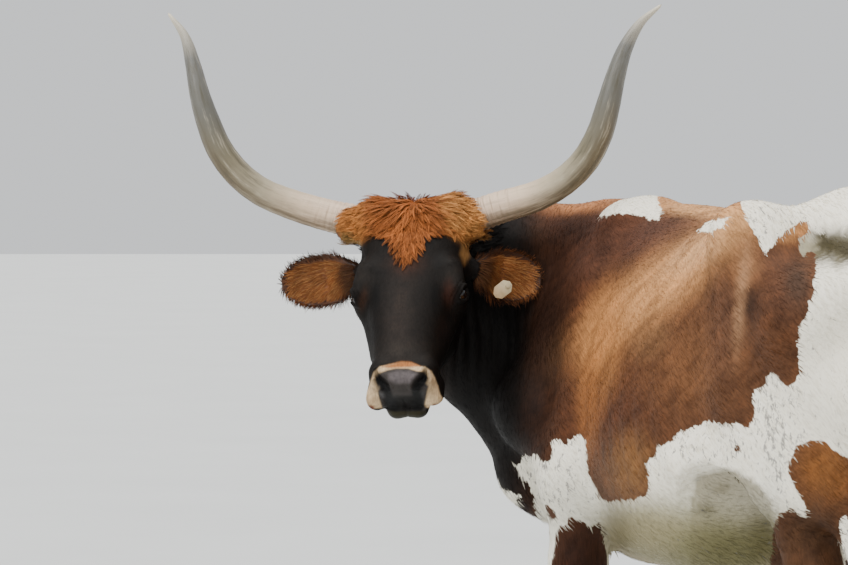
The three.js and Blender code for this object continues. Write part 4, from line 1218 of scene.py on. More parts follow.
def makeTag():
    bpy.ops.object.select_all(action="DESELECT")
    bpy.ops.mesh.primitive_cube_add(size=1 / metre)
    piece = bpy.context.object
    piece.name = "earTag"
    piece.scale = (tag["width"], tag["height"], tag["thick"])
    bpy.ops.object.transform_apply(location=False, rotation=False, scale=True)
    mesh = bmesh.new()
    mesh.from_mesh(piece.data)
    upright = [line for line in mesh.edges if line.calc_length() < 3 / metre]
    corner = tag["corner"] / metre
    bmesh.ops.bevel(mesh, geom=upright, offset=corner, segments=1, affect="EDGES", profile=0.5)
    mesh.to_mesh(piece.data)
    mesh.free()
    editAll(bpy.ops.mesh.bevel, offset=tag["edge"] / metre, segments=2, affect="EDGES")
    bpy.ops.mesh.primitive_cylinder_add(
        vertices=28,
        radius=stud["radius"] / metre,
        depth=stud["thick"] / metre,
        location=(0, (tag["height"] / 2 - stud["fromTop"]) / metre, tag["thick"] / metre),
    )
    button = bpy.context.object
    editAll(bpy.ops.mesh.bevel, offset=stud["edge"] / metre, segments=3, affect="EDGES")
    bpy.ops.object.transform_apply()
    selectOnly(piece)
    button.select_set(True)
    bpy.ops.object.join()
    out, face, edge, root = earBasis("left")
    place = root + out * ear["length"]["left"] * tag["along"] + edge * tag["drop"] + face * tag["proud"]
    turn = turnAbout((0, 0, 1), math.radians(tag["tilt"]))
    axes = np.column_stack([edge, out, face]) @ turn
    points = readAll(piece.data.vertices, "co", 3) * metre
    points[:, 2] += tag["bend"] * (points[:, 1] / tag["height"]) ** 2 + tag["thick"] / 2
    addAttribute(piece, "plate", points / metre)
    setPlaces(piece, place + points @ axes.T)
    smooth(piece)
    bpy.ops.object.shade_smooth_by_angle(angle=math.radians(35))
    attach(piece, "root")
    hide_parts("ear_tag")
    return piece


earTag = makeTag()
print("Tag made")


# Colours, written as they look on a screen
def paint(code):
    part = np.array([int(code[k:k + 2], 16) / 255 for k in (1, 3, 5)])
    return np.where(part <= 0.04045, part / 12.92, ((part + 0.055) / 1.055) ** 2.4)


# The light here is bright, so the dark coat is deeper and warmer than it looks
deeper = {"power": 1.17, "tint": (1.05, 1.0, 0.88)}


def deepen(colour):
    return colour ** deeper["power"] * np.array(deeper["tint"])


# Markings. Outlines are in the photograph's pixels, drawn on past its edges to the feet and the tail
whiteAreas = {
    "rumpAndBelly": [
        (741, 170), (741, 209), (746, 219), (750, 229), (758, 237), (760, 247), (763, 257), (770, 249),
        (776, 242), (780, 237), (790, 227), (800, 223), (812, 220), (808, 228), (802, 236), (798, 238),
        (799, 247), (800, 255), (805, 255), (810, 249), (815, 255), (817, 271), (814, 287), (809, 305),
        (806, 317), (798, 333), (797, 345), (799, 359), (800, 371), (795, 382), (788, 386), (780, 379),
        (774, 373), (766, 377), (764, 388), (757, 388), (755, 390), (752, 402), (754, 412), (750, 422),
        (747, 427), (737, 422), (727, 425), (715, 422), (705, 422), (695, 426), (685, 430), (675, 436),
        (669, 444), (657, 445), (655, 455), (645, 464), (649, 475), (649, 485), (645, 497), (630, 500),
        (610, 501), (603, 500), (597, 512), (604, 540), (620, 640), (760, 700), (776, 760), (776, 960),
        (1100, 960), (1100, 170),
    ],
    "shoulder": [
        (510, 461), (517, 465), (522, 456), (537, 455), (541, 461), (552, 461), (549, 441), (560, 439),
        (566, 443), (577, 434), (584, 440), (586, 455), (589, 475), (597, 495), (607, 508), (603, 521),
        (591, 528), (582, 522), (570, 516), (565, 525), (560, 527), (556, 537), (554, 548), (552, 565),
        (551, 600), (546, 616), (544, 565), (540, 525), (535, 510), (532, 492), (530, 486), (520, 475),
    ],
    "brisket": [(495, 480), (505, 489), (519, 496), (516, 505), (499, 500)],
    "back": [
        (609, 150), (658, 150), (658, 200), (661, 209), (658, 220), (654, 221), (646, 218), (640, 216),
        (626, 213), (616, 214), (602, 217), (598, 209), (603, 205), (608, 201),
    ],
    "streak": [
        (698, 232), (704, 225), (714, 220), (727, 217), (725, 222), (720, 228), (714, 231), (706, 232),
    ],
    "frontSock": [(520, 830), (548, 822), (566, 836), (590, 826), (620, 836), (640, 960), (500, 960)],
}
brownAreas = {
    "hindLeg": [
        (812, 440), (802, 445), (796, 447), (794, 452), (789, 462), (790, 475), (794, 485), (800, 495),
        (806, 505), (805, 516), (799, 516), (792, 510), (788, 509), (776, 515), (770, 560), (776, 620),
        (800, 668), (826, 690), (846, 676), (856, 640), (850, 600), (843, 560), (838, 524), (845, 516),
        (856, 540), (866, 528), (866, 500), (858, 470), (848, 456), (842, 455), (826, 444),
    ],
    "hock": [(846, 742), (872, 728), (890, 760), (880, 800), (858, 806), (842, 780)],
    "chestSpot": [(546, 504), (553, 508), (557, 516), (553, 521), (548, 517)],
    "bellySpot": [(733, 448), (737, 445), (742, 447), (741, 451), (735, 451)],
    "pinSpot": [(905, 300), (925, 285), (946, 300), (940, 332), (915, 338)],
}


# Distance to an outline in its own units, below zero inside it
def outlineDistance(points, outline):
    corners = np.asarray(outline, float)
    best = np.full(len(points), 1e6)
    inside = np.zeros(len(points), bool)
    for a, b in zip(corners, np.roll(corners, -1, axis=0)):
        axis = b - a
        t = np.clip((points - a) @ axis / max(axis @ axis, 1e-9), 0, 1)
        away = points - a - t[:, None] * axis
        best = np.minimum(best, (away**2).sum(1))
        crosses = (a[1] > points[:, 1]) != (b[1] > points[:, 1])
        edge = a[0] + (points[:, 1] - a[1]) / np.where(axis[1] == 0, 1e-9, axis[1]) * axis[0]
        inside ^= crosses & (points[:, 0] < edge)
    return np.where(inside, -1, 1) * np.sqrt(best)


# The right side, which the photograph doesn't show, has like markings, moved and stretched
farSide = {"start": 20, "reach": 190, "drift": 95, "slide": 60, "lift": 34, "blend": (70, 140)}


def markingPixels(p):
    look = p.copy()
    near = photoPixels(p)
    over = eased(p[:, 1], farSide["start"], farSide["reach"]) * eased(p[:, 2], 620, 900)
    look[:, 1] = -np.abs(p[:, 1])
    drift = farSide["drift"] * np.sin(p[:, 2] / 118 + p[:, 0] / 260)
    look[:, 0] += over * (farSide["slide"] + drift)
    look[:, 2] += over * farSide["lift"] * np.sin(p[:, 0] / 150 + 1)
    beyond = eased(p[:, 1], *farSide["blend"])[:, None]
    return mix(near, photoPixels(look), beyond)


def whiteDistance(p):
    pixels = markingPixels(p)
    white = np.min([outlineDistance(pixels, outline) for outline in whiteAreas.values()], axis=0)
    for outline in brownAreas.values():
        white = np.maximum(white, -outlineDistance(pixels, outline))
    onHeadOrNeck = eased(-p[:, 0], 470, 520) * eased(p[:, 2], 860, 900)
    return white + 40 * onHeadOrNeck


# Soft patches: a place and two half sizes in pixels, a turn in degrees, a colour and its strength
coatTones = {
    "shoulder": ((600, 300), (60, 200), 0, "#58392a", 1),
    "throat": ((505, 330), (34, 240), 0, "#130d0a", 1),
    "foreNeck": ((470, 380), (60, 200), 0, "#110c0a", 1),
    "neckEdge": ((548, 330), (16, 130), 8, "#33211a", 0.9),
    "shoulderTop": ((575, 250), (22, 40), 10, "#4f3426", 0.8),
    "saddle": ((640, 240), (62, 17), -14, "#63463a", 0.95),
    "bladeDark": ((600, 262), (34, 20), -35, "#5a3d30", 0.9),
    "bladeBand": ((655, 290), (84, 26), -38, "#cf9f72", 0.9),
    "bandTop": ((700, 250), (36, 13), -35, "#dcb38c", 0.75),
    "bandFoot": ((602, 345), (20, 52), 10, "#bf8c5e", 0.85),
    "bandLow": ((590, 412), (11, 44), 4, "#9a6a42", 0.85),
    "elbow": ((630, 470), (24, 34), 0, "#8d6a45", 0.8),
    "barrel": ((690, 360), (54, 42), -10, "#805c41", 0.8),
    "barrelLight": ((650, 340), (22, 14), -50, "#8c6d50", 0.5),
    "lastRibs": ((725, 330), (16, 60), 0, "#6f5140", 0.7),
    "loin": ((738, 224), (14, 24), 10, "#dcae80", 0.95),
    "loinLow": ((745, 256), (15, 24), 0, "#a17a5c", 0.85),
    # A painted highlight along the hip bone's ridge, and painted shade in the hollow behind it
    "hookRidgeHighlight": ((741, 300), (6, 46), 6, "#a3836a", 0.85),
    "hookHollowShade": ((753, 306), (8, 16), 0, "#33241b", 0.9),
    "thigh": ((782, 300), (24, 52), 0, "#644635", 0.9),
    "thighDark": ((797, 283), (12, 22), 0, "#463a33", 0.7),
    "rumpTan": ((800, 228), (22, 9), -25, "#c4946a", 0.95),
    "thighLow": ((775, 350), (24, 30), 0, "#654632", 0.85),
    "backLine": ((650, 196), (110, 11), 2, "#c8946b", 0.95),
    "backLight": ((700, 208), (44, 9), 6, "#dbb085", 0.8),
    "withers": ((585, 204), (34, 8), -6, "#c08a63", 0.9),
    "stifle": ((827, 470), (26, 30), 0, "#8c6139", 1),
    "gaskin": ((808, 545), (34, 42), 0, "#563f2e", 1),
    "hindShank": ((850, 620), (60, 60), 0, "#4d3424", 0.9),
    "forearm": ((580, 560), (34, 46), 0, "#40291d", 1),
    "foreShank": ((577, 720), (50, 130), 0, "#38231a", 1),
}
paleTones = {
    "rump": ((836, 360), (40, 90), 0, "#e2dccb", 0.7),
    "stain": ((832, 246), (42, 15), -8, "#3f3924", 1),
    "stainTop": ((822, 238), (9, 6), 20, "#39331f", 1),
    "stainEnd": ((846, 254), (12, 8), -20, "#3b3521", 1),
    "stainEdge": ((813, 254), (12, 4), 10, "#57503a", 0.9),
    "stainDrip": ((838, 262), (5, 7), 0, "#655e48", 0.8),
    "stainHalo": ((806, 246), (9, 10), 0, "#a69e84", 0.8),
    # The belly's cream, soiled hair with painted shade under the body; armpit and groin are painted shade
    # between the legs
    "belly": ((700, 545), (90, 46), 0, "#8c8663", 0.95),
    "bellyFront": ((640, 528), (44, 24), 10, "#948a66", 0.9),
    "armpit": ((612, 530), (18, 26), 0, "#6d6342", 0.8),
    "bellyShade": ((735, 552), (54, 26), 0, "#5f5c38", 0.9),
    "groin": ((765, 540), (16, 34), 0, "#57522f", 0.9),
    "bellyMark": ((705, 509), (9, 6), 0, "#6b6752", 0.7),
    "foldMark": ((722, 489), (8, 5), 0, "#7c7865", 0.55),
    "chest": ((565, 500), (40, 40), 0, "#cbc8ba", 0.6),
    "flank": ((770, 480), (16, 30), 0, "#e2dfd2", 0.5),
}
# The belly that shows under the fold from the thigh, darkened with painted shade
foldShadeArch = [
    (690, 512), (693, 487), (702, 472), (714, 468.5), (730, 469.5), (745, 475), (758, 484), (768, 496),
    (775, 514), (780, 570), (740, 590), (690, 580),
]
# Where grey hair is thickest in the white
roanSpots = {
    "flank": ((775, 430), (22, 62), -6, 1),
    "chest": ((545, 478), (34, 30), 0, 0.7),
    "belly": ((715, 448), (44, 14), -4, 0.7),
    "rumpTop": ((770, 212), (34, 24), 0, 0.5),
    "armpit": ((600, 480), (20, 40), 0, 0.4),
    "shank": ((860, 640), (40, 160), 0, 0.8),
}


def spotWeight(pixels, place, size, turn):
    c, s = math.cos(math.radians(turn)), math.sin(math.radians(turn))
    dx, dy = (pixels - place).T
    u, v = (dx * c + dy * s) / size[0], (dy * c - dx * s) / size[1]
    return np.exp(-0.7 * (u * u + v * v) ** 1.5)


def softSpots(pixels, base, spots):
    colour = np.tile(paint(base), (len(pixels), 1))
    for place, size, turn, code, strength in spots.values():
        weight = strength * spotWeight(pixels, place, size, turn)
        colour = mix(colour, paint(code), weight[:, None])
    return colour


def roanShare(p):
    pixels = markingPixels(p)
    spots = roanSpots.values()
    return np.max([strength * spotWeight(pixels, *spot) for *spot, strength in spots], axis=0)


# The same on the face
faceTones = {
    # A faint painted sheen on the middle of the forehead
    "forehead": ((405, 300), (30, 60), 0, "#241f1d", 0.8),
    "bridge": ((400, 325), (13, 40), 0, "#3a3331", 0.7),
    "aboveMuzzle": ((404, 352), (26, 10), 0, "#34302e", 0.6),
    # Painted highlights on the brow ridges
    "rightBrowHighlight": ((362, 273), (9, 12), 0, "#2b2725", 0.7),
    "leftBrowHighlight": ((452, 272), (9, 12), 0, "#2b2725", 0.7),
    "leftLid": ((449, 293), (6, 12), 0, "#3f2418", 0.75),
    "rightLid": ((363, 300), (4, 12), 12, "#3f2a1e", 0.7),
    # Painted shade in the hollows inside the eyes
    "rightHollowShade": ((376, 296), (4, 12), 0, "#0e0c0b", 0.8),
    "leftHollowShade": ((434, 296), (4, 12), 0, "#0e0c0b", 0.8),
    "underPoll": ((407, 262), (16, 12), 0, "#452d22", 0.8),
    "cheekbone": ((442, 330), (6, 12), 0, "#33231c", 0.5),
    "jaw": ((450, 360), (12, 40), 0, "#0d0a09", 0.8),
}
# Outlines on the face, each with a colour and how soft its edge is
faceAreas = {
    "muzzleRing": ("#d0bca2", 1.2, [
        (371, 380), (374, 372), (380, 366.5), (390, 364.5),
        (400, 362.5), (411, 363), (420, 366.5), (425, 366.8),
        (431, 371), (435, 378), (438, 386), (440, 394), (444, 400), (443, 407), (436, 409), (428, 408),
        (405, 410), (382, 408), (370, 409), (363, 405), (363, 397), (368, 389),
    ]),
    "ringTop": ("#a8764f", 1.6, [
        (382, 367), (392, 364), (401, 361.5), (411, 362), (420, 366), (411, 367), (392, 368),
    ]),
    "nosePad": ("#4b4748", 1.1, [
        (376.5, 375), (380, 373), (388, 370), (396, 368.5),
        (408, 368.5), (416, 371), (423, 372), (428.5, 378),
        (429, 384), (427.2, 391), (425.7, 400), (424.2, 406),
        (427, 408), (425, 412), (384, 412), (381.3, 405),
        (379, 398), (377.5, 390), (374.6, 381),
    ]),
    # A painted highlight on the top of the nose pad
    "noseHighlight": ("#6f6a70", 2.6, [
        (388, 374), (398, 371), (410, 371), (418, 375), (411, 383), (396, 384), (389, 380),
    ]),
    # Painted reflections on the bulges below the nostrils
    "lipReflection": ("#5f6067", 2, [(379, 393), (386, 392), (388, 397), (382, 398)]),
    "lipReflectionLeft": ("#57585e", 2, [(415, 393), (424, 392), (422, 397), (416, 397)]),
    # Painted shade on the lower part of the nose pad
    "lowerNoseShade": ("#191613", 2.4, [
        (383, 399), (396, 396), (412, 396), (423, 399), (422, 411), (404, 412), (386, 411),
    ]),
    "lip": ("#3c3926", 1.1, [
        (383, 411), (405, 411.5), (426, 411), (432, 430), (404, 436), (376, 430),
    ]),
    "lobeRight": ("#7a4a36", 1.4, [(366, 405), (374, 406), (374, 410), (366, 409)]),
    "lobeLeft": ("#6b3f2e", 1.4, [(433, 404), (440, 404), (440, 409), (433, 409)]),
}
# The same for its long and tan hair
hairAreas = {
    "pollHair": ("#ad7044", 3.5, [
        (345, 190), (380, 180), (440, 180), (470, 188), (482, 214), (484, 240), (474, 246), (462, 240),
        (447, 233), (430, 232), (421, 240), (414, 254), (407, 263), (400, 254), (393, 240), (384, 233),
        (368, 234), (356, 242), (348, 244), (338, 226),
    ]),
    "pollLeft": ("#bd8450", 8, [
        (336, 198), (366, 192), (380, 200), (376, 228), (362, 240), (340, 244),
    ]),
    "pollRight": ("#d09c66", 8, [
        (432, 196), (474, 192), (486, 214), (484, 240), (462, 240), (440, 226),
    ]),
    "leftTan": ("#a98a5e", 3, [
        (340, 225), (352, 232), (362, 240), (359, 252), (357, 263), (351, 256), (344, 244),
    ]),
    "rightTan": ("#9c7a52", 3, [
        (484, 222), (476, 236), (463, 243), (460, 254), (464, 265), (470, 256), (482, 244),
    ]),
}


def onHead(p):
    q = (p - poll) @ headAxes
    return eased(q[:, 0], -250, -205) * eased(-np.abs(q[:, 1]), -172, -160) * eased(q[:, 2], -490, -470)


skinPoints = placesOf(skin)
# Colours under the soft patches, and of whole regions
baseTones = {
    "brown": "#6d4d38",
    "white": "#faf4e3",
    "face": "#17120f",
    # Painted shade under the fold from the thigh, and a painted shadow along its crease
    "archShade": "#6a6144",
    "creaseShade": "#453d26",
    # Cream of the belly's hair, with painted shade on the underside
    "underside": "#b9a98c",
    "backOfHead": "#120d0b",
    # Painted shade inside the nostrils
    "nostril": "#050404",
    "udder": "#c79c86",
}


def coatColours(p):
    pixels = markingPixels(p)
    coat = softSpots(pixels, baseTones["brown"], coatTones)
    under = eased(-p[:, 2], -700, -600) * eased(-np.abs(p[:, 1]), -130, -60)
    wander = [np.sin(pixels[:, 1 - k] * 0.9 + 1.3 * np.sin(pixels[:, k] * 0.6)) for k in (0, 1)]
    pale = softSpots(pixels + 2.4 * np.column_stack(wander), baseTones["white"], paleTones)
    # Painted shade on the belly under the fold from the thigh
    arch = eased(-outlineDistance(pixels, foldShadeArch), -1.2, 1.2)
    arch *= 0.75 - 0.45 * eased(pixels[:, 1], 480, 530)
    pale = mix(pale, paint(baseTones["archShade"]), arch[:, None])
    # A painted shadow along the crease under the fold's rim
    left = np.column_stack([p[:, 0], -np.abs(p[:, 1]), p[:, 2]])
    gap, height = distanceToLine(left, flankCurve)
    shadow = bell(gap, 0, 9) * eased(-height, -6, 4)
    pale = mix(pale, paint(baseTones["creaseShade"]), (0.8 * shadow)[:, None])
    # The underside: cream belly hair with painted shade, as the light falls from above
    pale = mix(pale, paint(baseTones["underside"]), (0.6 * under)[:, None])
    straight = photoPixels(p)
    face = softSpots(straight, baseTones["face"], faceTones)
    for code, softness, outline in [*hairAreas.values(), *faceAreas.values()]:
        weight = eased(-outlineDistance(straight, outline), -softness, softness)
        face = mix(face, paint(code), weight[:, None])
    head = onHead(p)[:, None]
    out = ((p - poll) @ headAxes)[:, 0]
    behind = eased(-out, 105, 150)[:, None]
    face = mix(face, paint(baseTones["backOfHead"]), behind)
    # Painted shade inside the nostrils
    inNostril = eased(-nostrilDistance(p), -2.5, 3)
    face = mix(face, paint(baseTones["nostril"]), inNostril[:, None])
    return deepen(mix(coat, face, head)), pale


skinCoat, skinPale = coatColours(skinPoints)
skinWhite = whiteDistance(skinPoints)


# Bare skin: 1 on the nose pad, the lips' edge and the udder
def bareShare(p):
    straight = photoPixels(p)
    outlines = [faceAreas[name][2] for name in ("nosePad", "lip")]
    nearest = np.min([outlineDistance(straight, outline) for outline in outlines], axis=0)
    pad = eased(-nearest, -1, 1.5) * onHead(p)
    bag = eased(-p[:, 2], -740, -715) * eased(-np.abs(p[:, 1]), -104, -84)
    bag *= eased(p[:, 0], 320, 350) * eased(-p[:, 0], -610, -580)
    return np.maximum(pad, bag)


skinBare = bareShare(skinPoints)
bag = skinBare * (skinPoints[:, 0] > 200)
skinPale = mix(skinPale, paint(baseTones["udder"]), bag[:, None])
skinWhite = np.where(bag > 0.5, -30, skinWhite)


# How upright the hair grows: down the legs, neck and face, or back along the body
def downward(p):
    legs = eased(-p[:, 2], -800, -620)
    neck = eased(-p[:, 0], 330, 480)
    return np.clip(np.maximum(legs, neck), 0, 1)


addAttribute(skin, "coatColour", skinCoat)
addAttribute(skin, "paleColour", skinPale)
addAttribute(skin, "whiteDistance", skinWhite)
addAttribute(skin, "bare", skinBare)
skinRoan = roanShare(skinPoints)
addAttribute(skin, "roan", skinRoan)
addAttribute(skin, "downward", downward(skinPoints))
addAttribute(skin, "rootPlace", toFrame(skinPoints))
print("Markings painted")


# The coat. Every tuft is a closed three-sided strand that rises a little and lies down along the hair
coat = {
    "length": 17,
    "footLength": 12,
    "hangingMore": 8,
    "faceLength": 10,
    "muzzleLength": 4,
    "width": 1.9,
    "footWidth": 1.7,
    "faceWidth": 1.1,
    "muzzleWidth": 0.8,
    "spacing": 66,
    "footSpacing": 56,
    "faceSpacing": 30,
    "muzzleSpacing": 16,
    "thin": 0.12,
    "lift": 8,
    "lay": -2,
    "sink": 0.5,
    "mostTufts": 19000,
    "patch": 0.003,
}


# An unwrap of the skin's own shape, which gives each tuft its place on the map
def unwrapSkin():
    selectOnly(skin)
    bpy.ops.object.duplicate()
    plain = bpy.context.object
    thinner = plain.modifiers.new("thinner", "DECIMATE")
    thinner.ratio = 0.06
    bpy.ops.object.modifier_apply(modifier=thinner.name)
    editAll(bpy.ops.uv.smart_project, angle_limit=math.radians(60), island_margin=0.006)
    mesh = plain.data
    corners = readAll(mesh.uv_layers.active.data, "uv", 2).reshape(-1, 3, 2)
    faces = readAll(mesh.polygons, "vertices", 3, int)
    places = readAll(mesh.vertices, "co", 3)
    bpy.data.objects.remove(plain)
    return places, faces, corners


def mapPlaces(roots):
    places, faces, corners = unwrapped
    tree = BVHTree.FromPolygons(places.tolist(), faces.tolist())
    found = [tree.find_nearest(p) for p in toFrame(roots).tolist()]
    near = np.array([hit[0] for hit in found])
    index = np.array([hit[2] for hit in found])
    a, b, c = (places[faces[index, k]] for k in range(3))
    whole = np.linalg.norm(np.cross(b - a, c - a), axis=1)
    share = np.column_stack([
        np.linalg.norm(np.cross(b - near, c - near), axis=1),
        np.linalg.norm(np.cross(c - near, a - near), axis=1),
        np.linalg.norm(np.cross(a - near, b - near), axis=1),
    ]) / np.maximum(whole, 1e-12)[:, None]
    return (corners[index] * share[:, :, None]).sum(1)


def meshFrom(name, points, faces):
    mesh = bpy.data.meshes.new(name)
    mesh.vertices.add(len(points))
    mesh.vertices.foreach_set("co", toFrame(points).astype(np.float32).ravel())
    mesh.loops.add(faces.size)
    mesh.loops.foreach_set("vertex_index", faces.astype(np.int32).ravel())
    mesh.polygons.add(len(faces))
    mesh.polygons.foreach_set("loop_start", np.arange(0, faces.size, 3, dtype=np.int32))
    mesh.polygons.foreach_set("use_smooth", np.zeros(len(faces), bool))
    mesh.update(calc_edges=True)
    return pieceFrom(mesh)


# Strands along paths, each with its root's colours
def makeStrands(name, paths, normals, widths, roots, thin=0.22):
    count, stations = paths.shape[:2]
    ways = unit(np.gradient(paths, axis=1))
    sideways = unit(np.cross(normals[:, None], ways))
    upward = np.cross(ways, sideways)
    t = np.linspace(0, 1, stations)[:-1]
    taper = ((1 - t**2.4) * (0.72 + 0.5 * t))[None, :, None]
    half = widths[:, None, None] / 2 * taper
    middle, spread = paths[:, :-1], sideways[:, :-1] * half
    ridge = middle + upward[:, :-1] * half * 2 * thin
    rings = np.stack([middle - spread, middle + spread, ridge], axis=2).reshape(count, -1, 3)
    points = np.concatenate([rings, paths[:, -1:]], axis=1)
    own = points.shape[1]
    pattern = [(0, 2, 1)]
    for k in range(stations - 2):
        for i, j in ((0, 1), (1, 2), (2, 0)):
            low, high = 3 * k, 3 * k + 3
            pattern += [(low + i, low + j, high + j), (low + i, high + j, high + i)]
    last = 3 * (stations - 2)
    pattern += [(last + i, last + j, own - 1) for i, j in ((0, 1), (1, 2), (2, 0))]
    faces = (np.arange(count)[:, None, None] * own + np.array(pattern)[None]).reshape(-1, 3)
    piece = meshFrom(name, points.reshape(-1, 3), faces)
    for key in ("coatColour", "paleColour", "whiteDistance", "downward", "roan"):
        addAttribute(piece, key, np.repeat(roots[key], own, axis=0))
    addAttribute(piece, "rootPlace", np.repeat(toFrame(roots["place"]), own, axis=0))
    addAttribute(piece, "chance", np.repeat(rng.random(count), own))
    along = np.append(np.repeat(t, 3), 1)
    addAttribute(piece, "tip", np.tile(along, count))
    across = np.append(np.tile([-1, 1, 0], stations - 1), 0)
    spread = np.column_stack([across, 2 * along - 1]) * coat["patch"] / 2
    flat = (mapPlaces(roots["place"])[:, None] + spread[None]).reshape(-1, 2)
    piece.data.uv_layers.new(name="OFBake").data.foreach_set("uv", flat[faces.ravel()].ravel())
    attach(piece, "root")
    coatPieces.append(piece)
    return piece


def meshPlaces(piece):
    mesh = piece.data
    mesh.calc_loop_triangles()
    normals = readAll(mesh.vertices, "normal", 3)
    return placesOf(piece), normals, readAll(mesh.loop_triangles, "vertices", 3, int)


# Evenly scattered roots, where spacing is the area in square millimetres that each tuft has
def scatter(surface, spacing, kept):
    points, _, corners = surface
    a, b, c = (points[corners[:, k]] for k in range(3))
    area = np.linalg.norm(np.cross(b - a, c - a), axis=1) / 2
    amount = area / spacing[corners].mean(1) * kept[corners].mean(1)
    total = np.cumsum(amount)
    count = int(total[-1])
    index = np.searchsorted(total, (np.arange(count) + rng.random(count)) / count * total[-1])
    index = np.minimum(index, len(corners) - 1)
    share = rng.dirichlet((1, 1, 1), count)
    return corners[index], share


def carried(values, chosen):
    corners, share = chosen
    weight = share if values.ndim == 1 else share[:, :, None]
    return (values[corners] * weight).sum(1)


# Paths that rise by the hair's lift, end at its lay, and curl
def layPaths(places, normals, ways, lengths, stations, hair):
    ways = unit(ways - normals * (ways * normals).sum(1)[:, None])
    side = np.cross(normals, ways)
    count = len(places)
    turn = rng.normal(0, 1, count) * 0.16
    curl = rng.normal(0, 1, count) * hair.get("curl", 0)
    rise = np.radians(hair["lift"] * rng.uniform(0.6, 1.4, count))
    step = (lengths / (stations - 1))[:, None]
    paths = np.empty((count, stations, 3))
    paths[:, 0] = places - normals * coat["sink"]
    for k in range(1, stations):
        t = (k - 0.5) / (stations - 1)
        angle = mix(rise, math.radians(hair["lay"]), t)[:, None]
        drift = (turn + curl * t)[:, None]
        along = unit(ways + side * drift)
        paths[:, k] = paths[:, k - 1] + step * (along * np.cos(angle) + normals * np.sin(angle))
    return paths


# The way that the hair lies: back and down on the body, down on legs, neck and face
faceDown = faceWay(1, 0, 0)
faceOut = faceWay(0, 1, 0)
faceAcross = faceWay(0, 0, 1)


def hairWay(p, normals):
    flat = 1 - np.abs(normals[:, 2])
    trunk = np.column_stack([np.ones(len(p)), np.zeros(len(p)), -0.75 * flat])
    fall = np.tile((0.28, 0.0, -1.0), (len(p), 1))
    way = mix(trunk, fall, downward(p)[:, None])
    across = (p - poll) @ faceAcross
    face = faceDown + faceAcross * (across / 130)[:, None]
    return mix(way, face, onHead(p)[:, None])


def awayFromEyes(p):
    kept = np.ones(len(p))
    for side in headSides.values():
        kept *= eased(np.linalg.norm(p - eyeAt(side), axis=1), 27, 31)
    return kept


unwrapped = unwrapSkin()
skinSurface = meshPlaces(skin)
coatPieces = []


def faceDepths(p):
    q = p - poll
    return q @ faceDown, q @ faceOut, q @ faceAcross


# Share of each place that has the long hair of the poll
def pollShare(p):
    down, out, across = faceDepths(p)
    away = outlineDistance(photoPixels(p), hairAreas["pollHair"][2])
    front = eased(-away, -2, 4) * eased(out, -110, -80)
    behind = eased(-out, 60, 90) * eased(-down, -60, -20)
    return np.maximum(front, behind) * onHead(p) * eased(-np.abs(across), -146, -136)


def rootsOf(chosen):
    return {
        "place": carried(skinPoints, chosen),
        "coatColour": carried(skinCoat, chosen),
        "paleColour": carried(skinPale, chosen),
        "whiteDistance": carried(skinWhite, chosen),
        "downward": carried(downward(skinPoints), chosen),
        "roan": carried(skinRoan, chosen),
    }


def growShortCoat():
    p = skinPoints
    head, feet = onHead(p), eased(-p[:, 2], -620, -260)
    muzzle = eased((p - poll) @ faceDown, 300, 370) * head
    hanging = eased(-p[:, 2], -820, -660) * eased(-np.abs(p[:, 1]), -260, -120) * (1 - feet)
    length = mix(coat["length"], coat["footLength"], feet) + coat["hangingMore"] * hanging
    length = mix(length, mix(coat["faceLength"], coat["muzzleLength"], muzzle), head)
    spacing = mix(coat["spacing"], coat["footSpacing"], feet)
    spacing = mix(spacing, mix(coat["faceSpacing"], coat["muzzleSpacing"], muzzle), head)
    width = mix(coat["width"], coat["footWidth"], feet)
    width = mix(width, mix(coat["faceWidth"], coat["muzzleWidth"], muzzle), head)
    kept = (1 - skinBare) * awayFromEyes(p) * (1 - pollShare(p)) * eased(p[:, 2], 40, 52)
    chosen = scatter(skinSurface, spacing, kept)
    roots, normals = rootsOf(chosen), unit(carried(skinSurface[1], chosen))
    count = len(normals)
    lengths = carried(length, chosen) * rng.uniform(0.7, 1.25, count)
    widths = carried(width, chosen) * rng.uniform(0.7, 1.3, count)
    ways = hairWay(roots["place"], normals)
    paths = layPaths(roots["place"], normals, ways, lengths, 3, coat)
    order = np.argsort(roots["place"][:, 0])
    for number, part in enumerate(np.array_split(order, math.ceil(count / coat["mostTufts"]))):
        own = {key: values[part] for key, values in roots.items()}
        name = f"coat{number + 1}"
        makeStrands(name, paths[part], normals[part], widths[part], own, coat["thin"])
    print("Short coat,", count, "tufts")


# Long hair hangs in locks, whose strands start apart and come together at the tip
def lockStrands(paths, normals, strands, spread, tight):
    count, stations = paths.shape[:2]
    side = unit(np.cross(normals, paths[:, -1] - paths[:, 0]))
    ahead = np.cross(side, normals)
    t = np.linspace(0, 1, stations)[None, :, None]
    offsets = rng.normal(0, spread, (count, strands, 2))
    draw = 1 - (1 - tight) * t
    made = []
    for k in range(strands):
        offset = side * offsets[:, k, :1] + ahead * offsets[:, k, 1:]
        lifted = normals * rng.uniform(0, 2.6, (count, 1))
        made.append(paths + offset[:, None] * draw + lifted[:, None] * t * (1 - t) * 3)
    return np.concatenate(made)


pollHair = {
    "length": 44,
    "width": 1.15,
    "spacing": 36,
    "strands": 8,
    "spread": 3.4,
    "tight": 0.25,
    "fan": 48,
    "crown": 26,
    "lift": 24,
    "lay": -12,
    "curl": 0.3,
    "stations": 5,
    "pieces": 3,
}


